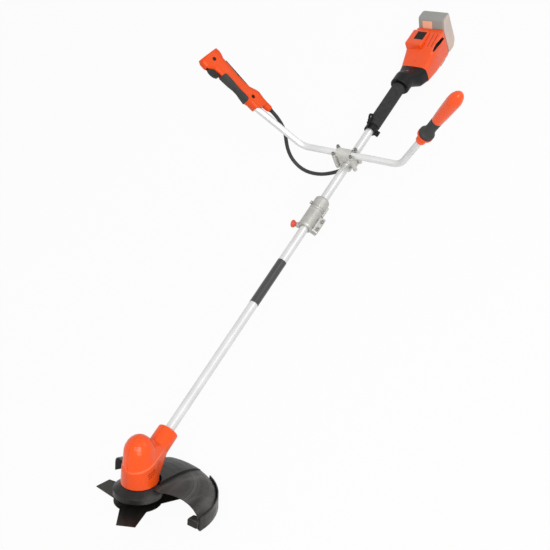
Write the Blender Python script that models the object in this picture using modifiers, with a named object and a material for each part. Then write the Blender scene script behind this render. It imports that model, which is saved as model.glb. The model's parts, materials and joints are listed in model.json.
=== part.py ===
"""Battery brush cutter with a front motor, a split shaft and a U handlebar.

The tool lies on a floor: the guard rim carries the front and the battery housing carries the rear.
Frames: "tool" has X along the shaft towards the battery, Y to the operator's right and Z away from the
floor. "head" shares its origin and is tilted about Y, so its Z is the spindle axis. Sizes are metres.
"""

import math

import bmesh
import bpy
from mathutils import Matrix, Vector

# General fits
GAP = 0.0003
CUT_MARGIN = 0.004
CUTTER_TURN = 0.382
ROUND_STEPS = 24
SMALL_STEPS = 10
GUARD_STEPS = 60

# Shaft tubes
TUBE_R = 0.0130
TUBE_WALL = 0.0015
LOWER_TUBE_START = 0.062
TUBE_JOINT = 0.905
UPPER_TUBE_END = 1.520
BAND_START = 0.566
BAND_END = 0.722
BAND_THICKNESS = 0.0006

# Motor head
HEAD_TILT = math.radians(38.3)
POD_R = 0.0430
POD_SHOULDER_R = 0.0400
POD_SHOULDER_H = 0.064
POD_TOP = 0.112
POD_BASE = -0.0200
NECK_R = 0.0285
NECK_END = 0.139
NECK_ROUND = 0.005
FAIRING_REACH = 0.058
WEB_POD_R = 0.0340
WEB_POD_H = 0.0800
WEB_ON_NECK = 0.66
SKIRT_RISE = math.radians(18)
SKIRT_FRONT_H = 0.0235
SKIRT_STEP = 0.0024
SKIRT_STEPS = 36
SKIRT_TOP = 0.0700
SKIRT_TAPER = 0.0030
STATOR_R = 0.0358
STATOR_FIT = 0.0006
STATOR_BORE = 0.0203
STATOR_LOW = -0.010
STATOR_HIGH = 0.062
ROTOR_R = 0.0195
SHAFT_R = 0.0050
SPINDLE_R = 0.0060
BEARING_R = 0.0110
BEARING_HEIGHT = 0.009
BASE_THICKNESS = 0.0127
VENT_COUNT = 3
VENT_PITCH = 0.0056
VENT_SIZE = (0.0280, 0.0140, 0.0028)
VENT_PLACE = (0.0428, 0.0445, -0.0202)

# Cutting tool
BLADE_TOP = -0.0698
BLADE_THICKNESS = 0.0018
BLADE_BORE_R = 0.0127
BLADE_DISC_R = 0.0620
BLADE_TIP_R = 0.1280
TOOTH_COUNT = 3
TOOTH_FIRST = math.radians(90)
TOOTH_TIP_HALF_ANGLE = math.radians(10.7)
TOOTH_ROOT_HALF_ANGLE = math.radians(33.8)
FLANGE_R = 0.0300
FLANGE_THICKNESS = 0.0075
FLANGE_HUB_R = 0.0110
FLANGE_HUB_HEIGHT = 0.014
WASHER_R = 0.0240
WASHER_THICKNESS = 0.0041
NUT_R = 0.0098
NUT_HEIGHT = 0.0095

# Guard
GUARD_WALL = 0.0030
HUB_RING_R = 0.0640
HUB_RING_DROP = 0.0155
HUB_BORE_R = 0.0160
APRON_OFFSET = 0.016
APRON_R = 0.1910
APRON_RISE = 0.0130
APRON_FLAT = 0.0230
APRON_ROUND_R = APRON_R - POD_R - APRON_FLAT
APRON_ROUND_H = 0.0430
APRON_SKIRT = 0.0035
APRON_NEAR_EDGE = 0.0010
NEAR_EDGE_SAG = 0.0140
NEAR_EDGE_FROM = 0.0700
NEAR_EDGE_SWEEP = 0.0120
APRON_FAR_ANGLE = math.radians(62)
RIB_HALF_WIDTH = 0.0460
RIB_RISE = 0.0050
RIB_INSET = 0.0040
RIB_END_ANGLE = 20
EXTENSION_WALL = 0.0030
EXTENSION_OVERLAP = 0.016
EXTENSION_DROP = 0.020
EXTENSION_TURN = math.radians(-23)
EXTENSION_LIP = 0.0075
HOLDER_SIZE = (0.024, 0.034, 0.0195)
CUTTER_SIZE = (0.0014, 0.028, 0.0155)
GUARD_SCREW_CIRCLE = 0.0290
GUARD_SCREW_COUNT = 3

# Split coupling
COUPLING_START = 0.851
COUPLING_END = 0.962
COUPLING_R = 0.0230
EAR_ANGLE = math.radians(-50)
EAR_LENGTH = 0.054
EAR_HALF_WIDTH = 0.0110
EAR_REACH = 0.0390
EAR_SLOT = 0.0024
EAR_BOLT_R = 0.0030
EAR_BOLT_DEPTH = 0.0320
LOCK_INSET = 0.006
LOCK_X = COUPLING_START + LOCK_INSET
LOCK_PIN_R = 0.0030
LOCK_PIN_TIP = 0.0098
LOCK_BOSS_R = 0.0085
LOCK_BOSS_END = 0.0275
KNOB_LENGTH = 0.0175
KNOB_R = 0.0115
SET_SCREW_X = 0.933
SET_SCREW_ANGLE = math.radians(-45)

# Handlebar and its bracket
BAR_R = 0.0100
BAR_WALL = 0.0015
BAR_X = 1.119
BAR_HEIGHT = 0.0370
BAR_RIGHT = 0.1545
BAR_LEFT = 0.1875
BAR_BEND_R = 0.050
ARM_RIGHT = Vector((-0.057, 0.608, 0.792)).normalized()
ARM_LEFT = Vector((0.085, -0.629, 0.7675)).normalized()
ARM_LEFT_LENGTH = 0.335
BRACKET_LENGTH = 0.026
BRACKET_WIDTH = 0.058
BRACKET_WING = 0.0085
BRACKET_SADDLE = 0.0065
BRACKET_BOSS_R = 0.0065
BRACKET_SCREW_X = 0.0155
BRACKET_SCREW_Y = 0.0305
SCREW_R = 0.0030
SCREW_HEAD_R = 0.0050
SCREW_HEAD_HEIGHT = 0.0055

# Trigger grip, in its own frame: Z along the grip, X to the palm side
GRIP_FOOT_ON_ARM = 0.150
GRIP_FOOT_SHIFT = 0.008
GRIP_LEAN = 0.06
GRIP_ON_BAR = 0.046
ARM_RIGHT_LENGTH = GRIP_FOOT_ON_ARM + GRIP_ON_BAR
GRIP_SECTIONS = (
    # height, palm offset, half depth, half width
    (0.0180, 0.0030, 0.0235, 0.0180),
    (0.0360, 0.0030, 0.0258, 0.0195),
    (0.0580, 0.0065, 0.0275, 0.0205),
    (0.0700, 0.0040, 0.0275, 0.0205),
    (0.0880, 0.0030, 0.0225, 0.0190),
    (0.1040, 0.0045, 0.0198, 0.0175),
    (0.1200, 0.0059, 0.0202, 0.0170),
    (0.1400, 0.0060, 0.0218, 0.0170),
    (0.1600, 0.0079, 0.0235, 0.0170),
    (0.1830, 0.0100, 0.0245, 0.0175),
    (0.2030, 0.0110, 0.0265, 0.0180),
    (0.2160, 0.0100, 0.0350, 0.0180),
    (0.2260, 0.0096, 0.0385, 0.0180),
    (0.2420, 0.0105, 0.0372, 0.0175),
    (0.2570, 0.0125, 0.0295, 0.0140),
)
GRIP_HEEL = (0.0050, 0.0210)
GRIP_HEEL_SLOPE = math.radians(29)
GRIP_TOP = (0.0096, 0.2455)
GRIP_TOP_SLOPE = math.radians(12)
LOBE_SECTIONS = (
    (-0.0030, 0.0190, 0.0085, 0.0085),
    (0.0020, 0.0190, 0.0102, 0.0100),
    (0.0330, 0.0185, 0.0112, 0.0125),
)
GRIP_ROUNDNESS = 3.2
PAD_THICKNESS = 0.0014
PAD_MIDDLE = (-0.0066, 0.1200)
PAD_HALF_LENGTH = 0.0520
PAD_SLOPE = math.radians(7.5)
TRIGGER_PIVOT = (-0.0100, 0.2140)
TRIGGER_WIDTH = 0.0160
TRIGGER_BULGE = (-0.0080, -0.0150)
TRIGGER_RADII = (0.0120, 0.0215)
TRIGGER_POCKET = (0.0400, 0.0085)
LEVER_HINGE_PLACE = (0.0359, 0.1930)
LEVER_SLOPE = math.radians(7.4)
LEVER_WIDTH = 0.0150
LEVER_LENGTH = 0.1050
LEVER_PROUD = 0.0042
LEVER_THICKNESS = 0.0085
LEVER_POCKET = 0.0110
SWITCH_SIZE = (0.0130, 0.0110, 0.0240)
SWITCH_PLACE = (0.0050, 0.0, 0.2000)
GRIP_SCREWS = ((0.0084, 0.2225), (0.0009, 0.0640))
GLAND_R = 0.0068
GLAND_LOW = -0.0080
GLAND_LENGTH = 0.0220
GLAND_OFFSET = 0.0190

# Control conduit, from the grip's gland to the shaft's gland
CONDUIT_R = 0.0058
CONDUIT_ROUTE = (
    (1.1420, 0.2330, 0.1180),
    (1.1440, 0.2270, 0.0850),
    (1.1430, 0.2290, 0.0500),
    (1.1370, 0.2370, 0.0080),
    (1.1280, 0.2330, -0.0420),
    (1.1150, 0.1910, -0.0730),
    (1.1040, 0.1230, -0.0650),
    (1.1020, 0.0640, -0.0430),
    (1.1180, 0.0210, -0.0305),
    (1.1480, 0.0125, -0.0250),
    (1.1880, 0.0105, -0.0175),
)
CONDUIT_STUB = 0.014
CONDUIT_ON_SHAFT = (0.0105, -0.0170)

# Plain grip, heights along the left arm
PLAIN_COLLAR = 0.133
PLAIN_COLLAR_R = 0.0150
PLAIN_RIM = 0.162
PLAIN_RIM_R = 0.0232
PLAIN_RUBBER_END = 0.238
PLAIN_SLEEVE_R = 0.0130
PLAIN_FLANGE_R = 0.0230
PLAIN_WAIST_R = 0.0150
PLAIN_BULB_R = 0.0206
PLAIN_END = 0.373

# Harness hanger and hand sleeve
HANGER_START = 1.256
HANGER_LENGTH = 0.0165
HANGER_R = 0.0190
EYE_X = 1.283
EYE_HEIGHT = 0.0345
EYE_R = 0.0110
EYE_BORE_R = 0.0065
EYE_THICKNESS = 0.0060
SLEEVE_START = 1.276
SLEEVE_R = 0.0210
ADAPTER_START = 1.457

# Battery housing, sections along the shaft
ADAPTER_SECTIONS = (
    # place, centre height, half width, half height, roundness
    (0.000, 0.0000, 0.0295, 0.0295, 2.0),
    (0.003, 0.0000, 0.0312, 0.0312, 2.0),
    (0.036, -0.0010, 0.0312, 0.0312, 2.0),
    (0.046, -0.0080, 0.0330, 0.0330, 2.3),
    (0.068, -0.0240, 0.0400, 0.0325, 3.2),
    (0.0965, -0.0295, 0.0455, 0.0300, 4.5),
)
HOUSING_SECTIONS = (
    (0.000, -0.0300, 0.0462, 0.0305, 4.5),
    (0.012, -0.0285, 0.0485, 0.0330, 4.5),
    (0.050, -0.0225, 0.0530, 0.0405, 5.0),
    (0.064, -0.0180, 0.0540, 0.0450, 5.0),
    (0.126, -0.0135, 0.0560, 0.0495, 5.0),
)
DECK_BLOCK_LOW = (0.056, -0.0085, 0.005)
DECK_BLOCK_HIGH = (0.1255, 0.0500, 0.043)
BUTTON_SIZE = (0.036, 0.032, 0.0080)
BUTTON_PLACE = (0.098, 0.0125)
BUTTON_TRAVEL = 0.0025
SLOT_SIZE = (0.071, 0.014, 0.0085)
SLOT_PLACE = (0.0945, 0.0525, 0.0215)
GROOVE_SIZE = (0.0560, 0.0020, 0.0030)
GROOVE_PLACES = (
    # along, across, height
    (0.0960, -0.0365, 0.0303),
    (0.0960, -0.0240, 0.0315),
)
GROOVE_SLOPE = math.radians(8.3)
RAIL_HALF_WIDTH = 0.0360
RAIL_NECK_HALF_WIDTH = 0.0300
RAIL_DEPTH = 0.0060
RAIL_LOW = -0.0280
RAIL_HIGH = 0.0200
CARRIER_LENGTH = 0.0185
CARRIER_HALF_WIDTH = 0.0470
CARRIER_LOW = -0.0585
CARRIER_HIGH = 0.0342
CONTROLLER_SIZE = (0.070, 0.058, 0.040)
CONTROLLER_PLACE = (0.052, -0.033)
TERMINAL_SIZE = (0.0072, 0.040, 0.0160)
FOOT_LENGTH = 0.034
FOOT_INSET = 0.006
FOOT_HALF_WIDTH = 0.0430
FOOT_HEIGHT = -0.0685

# Battery
BATTERY_LENGTH = 0.054
BATTERY_HALF_WIDTH = 0.0475
BATTERY_LOW = -0.0605
BATTERY_SHOULDER = 0.0260
BATTERY_SETBACK = 0.0135
BATTERY_TOP = 0.0645
BATTERY_ROUND = 0.0075
LATCH_SIZE = (0.026, 0.035, 0.0060)
LATCH_SIDE = 0.0130
LATCH_HEIGHT = 0.0425
LATCH_PROUD = 0.0016

COLOURS = {
    # linear colour, roughness, metallic
    "orange": ((0.90, 0.105, 0.022), 0.32, 0.0),
    "black_plastic": ((0.022, 0.022, 0.023), 0.55, 0.0),
    "guard_plastic": ((0.035, 0.034, 0.033), 0.50, 0.0),
    "rubber": ((0.028, 0.028, 0.028), 0.80, 0.0),
    "foam": ((0.020, 0.020, 0.019), 0.90, 0.0),
    "tube": ((0.82, 0.82, 0.81), 0.35, 0.9),
    "casting": ((0.42, 0.41, 0.39), 0.45, 0.9),
    "steel": ((0.50, 0.49, 0.48), 0.30, 1.0),
    "dark_steel": ((0.030, 0.026, 0.024), 0.45, 0.8),
    "copper": ((0.55, 0.26, 0.15), 0.45, 0.8),
    "grey_plastic": ((0.27, 0.32, 0.30), 0.45, 0.0),
    "peach_plastic": ((0.90, 0.48, 0.32), 0.45, 0.0),
    "board_green": ((0.03, 0.16, 0.07), 0.50, 0.0),
}


# Scene and object helpers


def clear_scene():
    """Remove every object, so the script can be run again."""
    for obj in list(bpy.data.objects):
        bpy.data.objects.remove(obj, do_unlink=True)


def new_collection(name):
    """Return an empty collection linked to the scene."""
    old = bpy.data.collections.get(name)
    if old:
        bpy.data.collections.remove(old)
    group = bpy.data.collections.new(name)
    bpy.context.scene.collection.children.link(group)
    return group


def new_material(key):
    """Return the Principled material of a colour key."""
    found = bpy.data.materials.get(key)
    if found:
        return found
    colour, roughness, metallic = COLOURS[key]
    material = bpy.data.materials.new(key)
    material.use_nodes = True
    shader = material.node_tree.nodes["Principled BSDF"]
    shader.inputs["Base Color"].default_value = (*colour, 1.0)
    shader.inputs["Roughness"].default_value = roughness
    shader.inputs["Metallic"].default_value = metallic
    return material


def new_frame(name, parent=None, place=(0, 0, 0), axes=None):
    """Add an empty whose axes are the three given vectors."""
    empty = bpy.data.objects.new(name, None)
    PARTS.objects.link(empty)
    empty.parent = parent
    empty.location = place
    if axes:
        empty.rotation_euler = Matrix(axes).transposed().to_euler()
    return empty


def place_object(name, data, parent, colour):
    """Link an object as a part, or as a cutter where it has no colour."""
    obj = bpy.data.objects.new(name, data)
    obj.parent = parent
    if colour:
        PARTS.objects.link(obj)
        data.materials.append(new_material(colour))
    else:
        CUTTERS.objects.link(obj)
        obj.hide_render = True
        obj.display_type = "WIRE"
    return obj


def boolean(obj, other, operation="DIFFERENCE"):
    """Combine a mesh with another by an exact Boolean."""
    modifier = obj.modifiers.new(other.name, "BOOLEAN")
    modifier.operation = operation
    modifier.solver = "EXACT"
    modifier.object = other


def bevel(obj, width, segments=2):
    """Round the edges of a mesh."""
    modifier = obj.modifiers.new("Round", "BEVEL")
    modifier.width = width
    modifier.segments = segments
    modifier.limit_method = "ANGLE"


# Shape helpers


def arc(centre, radii, first, last, steps):
    """Points of an elliptic arc; angles in degrees."""
    points = []
    for step in range(steps + 1):
        angle = math.radians(first + (last - first) * step / steps)
        points.append((centre[0] + radii[0] * math.cos(angle), centre[1] + radii[1] * math.sin(angle)))
    return points


def clockwise(points):
    """Return a closed outline in clockwise order, which faces a turned solid outwards."""
    area = 0.0
    for (ax, ay), (bx, by) in zip(points, points[1:] + points[:1]):
        area += ax * by - bx * ay
    return points if area < 0 else points[::-1]


AXIS_TURNS = {"Z": (0, 0, 0), "X": (0, math.pi / 2, 0), "Y": (-math.pi / 2, 0, 0)}


def lathe(name, profile, parent, colour=None, axis="Z", place=(0, 0, 0), steps=ROUND_STEPS):
    """Turn a profile of (radius, height) points about an axis; points on the axis close it.

    Each cutter starts at its own angle, so that no edge of a cut lies along an edge of the piece.
    """
    points = clockwise(list(profile))
    on_axis = [index for index, point in enumerate(points) if point[0] == 0]
    count = len(points)
    edges = [(index, (index + 1) % count) for index in range(count)]
    if on_axis:
        edges = [(a, b) for a, b in edges if points[a][0] > 0 or points[b][0] > 0]
    turn = 0.0 if colour else 2 * math.pi * CUTTER_TURN * (len(CUTTERS.objects) + 1) / steps
    cos, sin = math.cos(turn), math.sin(turn)
    mesh = bpy.data.meshes.new(name)
    mesh.from_pydata([(radius * cos, radius * sin, height) for radius, height in points], edges, [])
    obj = place_object(name, mesh, parent, colour)
    obj.location = place
    obj.rotation_euler = AXIS_TURNS[axis]
    screw = obj.modifiers.new("Turn", "SCREW")
    screw.steps = steps
    screw.render_steps = steps
    screw.use_merge_vertices = True
    screw.merge_threshold = 0.00001
    return obj


def ring(name, inner, outer, low, high, parent, colour=None, axis="Z", place=(0, 0, 0), steps=ROUND_STEPS):
    """Turn a plain tube."""
    profile = [(inner, low), (outer, low), (outer, high), (inner, high)]
    return lathe(name, profile, parent, colour, axis, place, steps)


def rod(name, radius, low, high, parent, colour=None, axis="Z", place=(0, 0, 0), steps=ROUND_STEPS):
    """Turn a plain cylinder."""
    profile = [(0, low), (radius, low), (radius, high), (0, high)]
    return lathe(name, profile, parent, colour, axis, place, steps)


def box(name, low, high, parent, colour=None, rounding=0.0):
    """Add a box between two corners, with rounded edges if asked."""
    mesh = bpy.data.meshes.new(name)
    shape = bmesh.new()
    bmesh.ops.create_cube(shape, size=1.0)
    size = Vector(high) - Vector(low)
    middle = (Vector(high) + Vector(low)) / 2
    bmesh.ops.transform(shape, matrix=Matrix.Diagonal((*size, 1.0)), verts=shape.verts)
    bmesh.ops.translate(shape, vec=middle, verts=shape.verts)
    shape.to_mesh(mesh)
    shape.free()
    obj = place_object(name, mesh, parent, colour)
    if rounding:
        bevel(obj, rounding)
    return obj


def centred_box(name, size, middle, parent, colour=None, rounding=0.0):
    """Add a box of a size about its middle."""
    half = Vector(size) / 2
    return box(name, Vector(middle) - half, Vector(middle) + half, parent, colour, rounding)


def loft(name, sections, parent, colour=None, axis="Z", points=24):
    """Join superellipse rings: each section is along, (u, v) centre, (u, v) half sizes, roundness."""
    shape = bmesh.new()
    rings = []
    for along, centre, half, power in sections:
        corners = []
        for step in range(points):
            angle = 2 * math.pi * step / points
            cos, sin = math.cos(angle), math.sin(angle)
            u = centre[0] + half[0] * math.copysign(abs(cos) ** (2 / power), cos)
            v = centre[1] + half[1] * math.copysign(abs(sin) ** (2 / power), sin)
            corners.append(shape.verts.new((along, u, v) if axis == "X" else (u, v, along)))
        loop = [shape.edges.new((a, b)) for a, b in zip(corners, corners[1:] + corners[:1])]
        rings.append((corners, loop))
    for (_, lower), (_, upper) in zip(rings, rings[1:]):
        bmesh.ops.bridge_loops(shape, edges=lower + upper)
    for corners, _ in (rings[0], rings[-1]):
        shape.faces.new(corners)
    bmesh.ops.recalc_face_normals(shape, faces=shape.faces)
    mesh = bpy.data.meshes.new(name)
    shape.to_mesh(mesh)
    shape.free()
    return place_object(name, mesh, parent, colour)


def hull(name, points, parent, colour=None):
    """Wrap points in their convex hull."""
    shape = bmesh.new()
    for point in points:
        shape.verts.new(point)
    wrapped = bmesh.ops.convex_hull(shape, input=shape.verts)
    inner = [item for item in wrapped["geom_interior"] if isinstance(item, bmesh.types.BMVert)]
    bmesh.ops.delete(shape, geom=inner, context="VERTS")
    bmesh.ops.recalc_face_normals(shape, faces=shape.faces)
    mesh = bpy.data.meshes.new(name)
    shape.to_mesh(mesh)
    shape.free()
    return place_object(name, mesh, parent, colour)


def curve_mesh(curve):
    """Turn a curve into a closed mesh, so it can take Booleans."""
    holder = bpy.data.objects.new(curve.name, curve)
    bpy.context.scene.collection.objects.link(holder)
    graph = bpy.context.evaluated_depsgraph_get()
    mesh = bpy.data.meshes.new_from_object(holder.evaluated_get(graph))
    bpy.data.objects.remove(holder, do_unlink=True)
    shape = bmesh.new()
    shape.from_mesh(mesh)
    bmesh.ops.remove_doubles(shape, verts=shape.verts, dist=0.000001)
    bmesh.ops.recalc_face_normals(shape, faces=shape.faces)
    shape.to_mesh(mesh)
    shape.free()
    return mesh


def plate(name, outlines, thickness, parent, colour=None):
    """Extrude flat outlines about the XY plane; outlines inside the first are holes."""
    curve = bpy.data.curves.new(name, "CURVE")
    curve.dimensions = "2D"
    curve.fill_mode = "BOTH"
    curve.extrude = thickness / 2
    for outline in outlines:
        spline = curve.splines.new("POLY")
        spline.points.add(len(outline) - 1)
        for point, (x, y) in zip(spline.points, outline):
            point.co = (x, y, 0, 1)
        spline.use_cyclic_u = True
    return place_object(name, curve_mesh(curve), parent, colour)


def pipe_curve(name, points, radius, resolution):
    """Return a round curve along points, with closed ends."""
    curve = bpy.data.curves.new(name, "CURVE")
    curve.dimensions = "3D"
    curve.bevel_depth = radius
    curve.bevel_resolution = resolution
    curve.use_fill_caps = True
    spline = curve.splines.new("POLY")
    spline.points.add(len(points) - 1)
    for point, place in zip(spline.points, points):
        point.co = (*place, 1)
    return curve


def rounded_path(corners, radius, steps):
    """Replace each inner corner of a path by an arc."""
    path = [corners[0]]
    for before, corner, after in zip(corners, corners[1:], corners[2:]):
        back = (before - corner).normalized()
        ahead = (after - corner).normalized()
        half = back.angle(ahead) / 2
        centre = corner + (back + ahead).normalized() * radius / math.sin(half)
        start = corner + back * radius / math.tan(half) - centre
        end = corner + ahead * radius / math.tan(half) - centre
        turn = start.angle(end)
        for step in range(steps + 1):
            share = step / steps
            point = start * math.sin((1 - share) * turn) + end * math.sin(share * turn)
            path.append(centre + point / math.sin(turn))
    path.append(corners[-1])
    return path


def smooth_path(points, steps):
    """Pass a smooth curve through the inner points; the first and last stretches stay straight."""
    path = [points[0]]
    for a, b, c, d in zip(points, points[1:], points[2:], points[3:]):
        for step in range(steps):
            t = step / steps
            linear = (c - a) * t
            square = (a * 2 - b * 5 + c * 4 - d) * t**2
            cube = (b * 3 - a - c * 3 + d) * t**3
            path.append((b * 2 + linear + square + cube) / 2)
    path += points[-2:]
    return path


def split_halves(left_name, right_name, moulding, parent, colour, reach):
    """Split a moulding at its own Y = 0 into two shells with a parting gap."""
    sides = ((left_name, -reach, -GAP / 2), (right_name, GAP / 2, reach))
    shells = []
    for name, low, high in sides:
        shell = box(name, (-reach, low, -reach), (reach, high, reach), parent, colour)
        boolean(shell, moulding, "INTERSECT")
        shells.append(shell)
    return shells


def cap_screw(name, shank, parent, place, axis="Z", head=SCREW_HEAD_HEIGHT, radius=SCREW_R):
    """Turn a cap screw whose head sits on its place and whose shank runs back along the axis."""
    head_radius = SCREW_HEAD_R * radius / SCREW_R
    socket = head_radius * 0.5
    profile = [
        (0, -shank),
        (radius, -shank),
        (radius, 0),
        (head_radius, 0),
        (head_radius, head),
        (socket, head),
        (socket, head * 0.5),
        (0, head * 0.5),
    ]
    return lathe(name, profile, parent, "dark_steel", axis, place, SMALL_STEPS)


# Motor head


def build_pod():
    """Orange pod with its neck: a domed lathe, a turned neck and a hull between them, split in halves."""
    dome = [(0, POD_TOP)]
    dome += arc((0, POD_SHOULDER_H), (POD_SHOULDER_R, POD_TOP - POD_SHOULDER_H), 78, 0, 6)
    dome += [(POD_R, POD_BASE + 0.022), (POD_R, POD_BASE), (0, POD_BASE)]
    moulding = lathe("pod_moulding", dome, HEAD)
    neck = [(0, NECK_END)]
    neck += arc((NECK_R - NECK_ROUND, NECK_END - NECK_ROUND), (NECK_ROUND, NECK_ROUND), 90, 0, 4)
    neck += [(NECK_R + 0.001, POD_R), (0, POD_R)]
    boolean(moulding, lathe("pod_neck", neck, TOOL, axis="X"), "UNION")
    boolean(moulding, build_fairing(), "UNION")
    boolean(moulding, build_skirt(), "UNION")
    pocket = BEARING_R + GAP
    stator_bay = STATOR_R + STATOR_FIT
    cavity = [
        (0, STATOR_HIGH + BEARING_HEIGHT + 0.003),
        (pocket, STATOR_HIGH + BEARING_HEIGHT + 0.003),
        (pocket, STATOR_HIGH + GAP),
        (stator_bay, STATOR_HIGH + GAP),
        (stator_bay, POD_BASE - CUT_MARGIN),
        (0, POD_BASE - CUT_MARGIN),
    ]
    boolean(moulding, lathe("pod_cavity", cavity, HEAD))
    boolean(
        moulding,
        rod("pod_tube_bore", TUBE_R + GAP, LOWER_TUBE_START - GAP, NECK_END + CUT_MARGIN, TOOL, axis="X"),
    )
    slope = skirt_frame("vent_frame")
    for side in (-1, 1):
        for index in range(VENT_COUNT):
            height = VENT_PLACE[2] + VENT_PITCH * (index - (VENT_COUNT - 1) / 2)
            middle = (VENT_PLACE[0], side * VENT_PLACE[1], height)
            boolean(moulding, centred_box(f"pod_vent_{side}_{index}", VENT_SIZE, middle, slope))
    split_halves("pod_left", "pod_right", moulding, HEAD, "orange", 0.25)


def skirt_point(angle, height, inset=0.0):
    """Point on the skirt: round at the front, drawn out to the rear, narrower upwards as the dome is."""
    taper = SKIRT_TAPER * (height - POD_BASE) / (SKIRT_TOP - POD_BASE)
    grow = SKIRT_STEP - taper - inset
    cos, sin = math.cos(angle), math.sin(angle)
    reach = POD_R if cos < 0 else FAIRING_REACH
    return Vector(((reach + grow) * cos, (POD_R + grow) * sin, height))


def skirt_frame(name):
    """Frame on the skirt's upper edge at the front, with X along its rise to the rear."""
    frame = new_frame(name, HEAD, (-POD_R, 0, SKIRT_FRONT_H))
    frame.rotation_euler.y = -SKIRT_RISE
    return frame


def build_skirt():
    """Slightly wider foot of the pod, whose upper edge rises to the rear."""
    points = []
    for step in range(SKIRT_STEPS):
        angle = 2 * math.pi * (step + 0.5) / SKIRT_STEPS
        points += [skirt_point(angle, POD_BASE + 0.0009), skirt_point(angle, SKIRT_TOP)]
    skirt = hull("pod_skirt", points, HEAD)
    boolean(skirt, box("skirt_trim", (-0.1, -0.1, 0), (0.25, 0.1, 0.1), skirt_frame("skirt_frame")))
    return skirt


def build_fairing():
    """Hull from the pod's base and the skirt's rear edge to the neck."""
    along = Vector((math.cos(HEAD_TILT), 0, math.sin(HEAD_TILT)))
    across = Vector((-math.sin(HEAD_TILT), 0, math.cos(HEAD_TILT)))
    top = along * (NECK_END * WEB_ON_NECK)
    ring_r = NECK_R * 0.97
    points = []
    for step in range(ROUND_STEPS):
        angle = 2 * math.pi * (step + 0.5) / ROUND_STEPS
        cos, sin = math.cos(angle), math.sin(angle)
        foot = skirt_point(angle, POD_BASE + 0.0005, SKIRT_STEP + 0.0012)
        points += [foot, foot + Vector((0, 0, 0.016))]
        points.append(Vector((WEB_POD_R * cos, WEB_POD_R * sin, WEB_POD_H)))
        points.append(top + Vector((0, ring_r * sin, 0)) + across * ring_r * cos)
        if cos > 0:
            edge = SKIRT_FRONT_H + (POD_R + FAIRING_REACH * cos) * math.tan(SKIRT_RISE)
            points.append(skirt_point(angle, edge - 0.0010, 0.0006))
    return hull("pod_fairing", points, HEAD)


def build_motor():
    """Stator, rotor with its spindle, two bearings and the base that carries them."""
    ring("motor_stator", STATOR_BORE, STATOR_R, STATOR_LOW, STATOR_HIGH, HEAD, "copper")
    top_bearing = STATOR_HIGH + GAP * 2
    base_low = POD_BASE - GAP - BASE_THICKNESS
    low_bearing = base_low + 0.0025
    spindle_end = BLADE_TOP - BLADE_THICKNESS - WASHER_THICKNESS - NUT_HEIGHT - 0.004
    rotor = [
        (0, top_bearing + BEARING_HEIGHT),
        (SHAFT_R, top_bearing + BEARING_HEIGHT),
        (SHAFT_R, STATOR_HIGH - 0.006),
        (ROTOR_R, STATOR_HIGH - 0.006),
        (ROTOR_R, STATOR_LOW + 0.004),
        (SHAFT_R, STATOR_LOW + 0.004),
        (SHAFT_R, base_low - 0.012),
        (SPINDLE_R, base_low - 0.012),
        (SPINDLE_R, spindle_end),
        (0, spindle_end),
    ]
    lathe("motor_rotor", rotor, HEAD, "steel")
    bore = SHAFT_R + GAP
    for name, low in (("upper_bearing", top_bearing), ("lower_bearing", low_bearing)):
        ring(name, bore, BEARING_R, low, low + BEARING_HEIGHT, HEAD, "steel")
    base = [
        (BEARING_R + GAP, POD_BASE - GAP),
        (POD_R - 0.0005, POD_BASE - GAP),
        (POD_R - 0.0005, base_low),
        (BEARING_R - 0.003, base_low),
        (BEARING_R - 0.003, low_bearing - GAP),
        (BEARING_R + GAP, low_bearing - GAP),
    ]
    carrier = lathe("motor_base", base, HEAD, "casting")
    for index in range(GUARD_SCREW_COUNT):
        angle = 2 * math.pi * (index + 0.5) / GUARD_SCREW_COUNT
        spot = (GUARD_SCREW_CIRCLE * math.cos(angle), GUARD_SCREW_CIRCLE * math.sin(angle), 0)
        thread = rod(f"base_thread_{index}", SCREW_R + GAP, base_low - CUT_MARGIN, POD_BASE - 0.004, HEAD,
                     place=spot, steps=SMALL_STEPS)
        boolean(carrier, thread)


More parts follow.
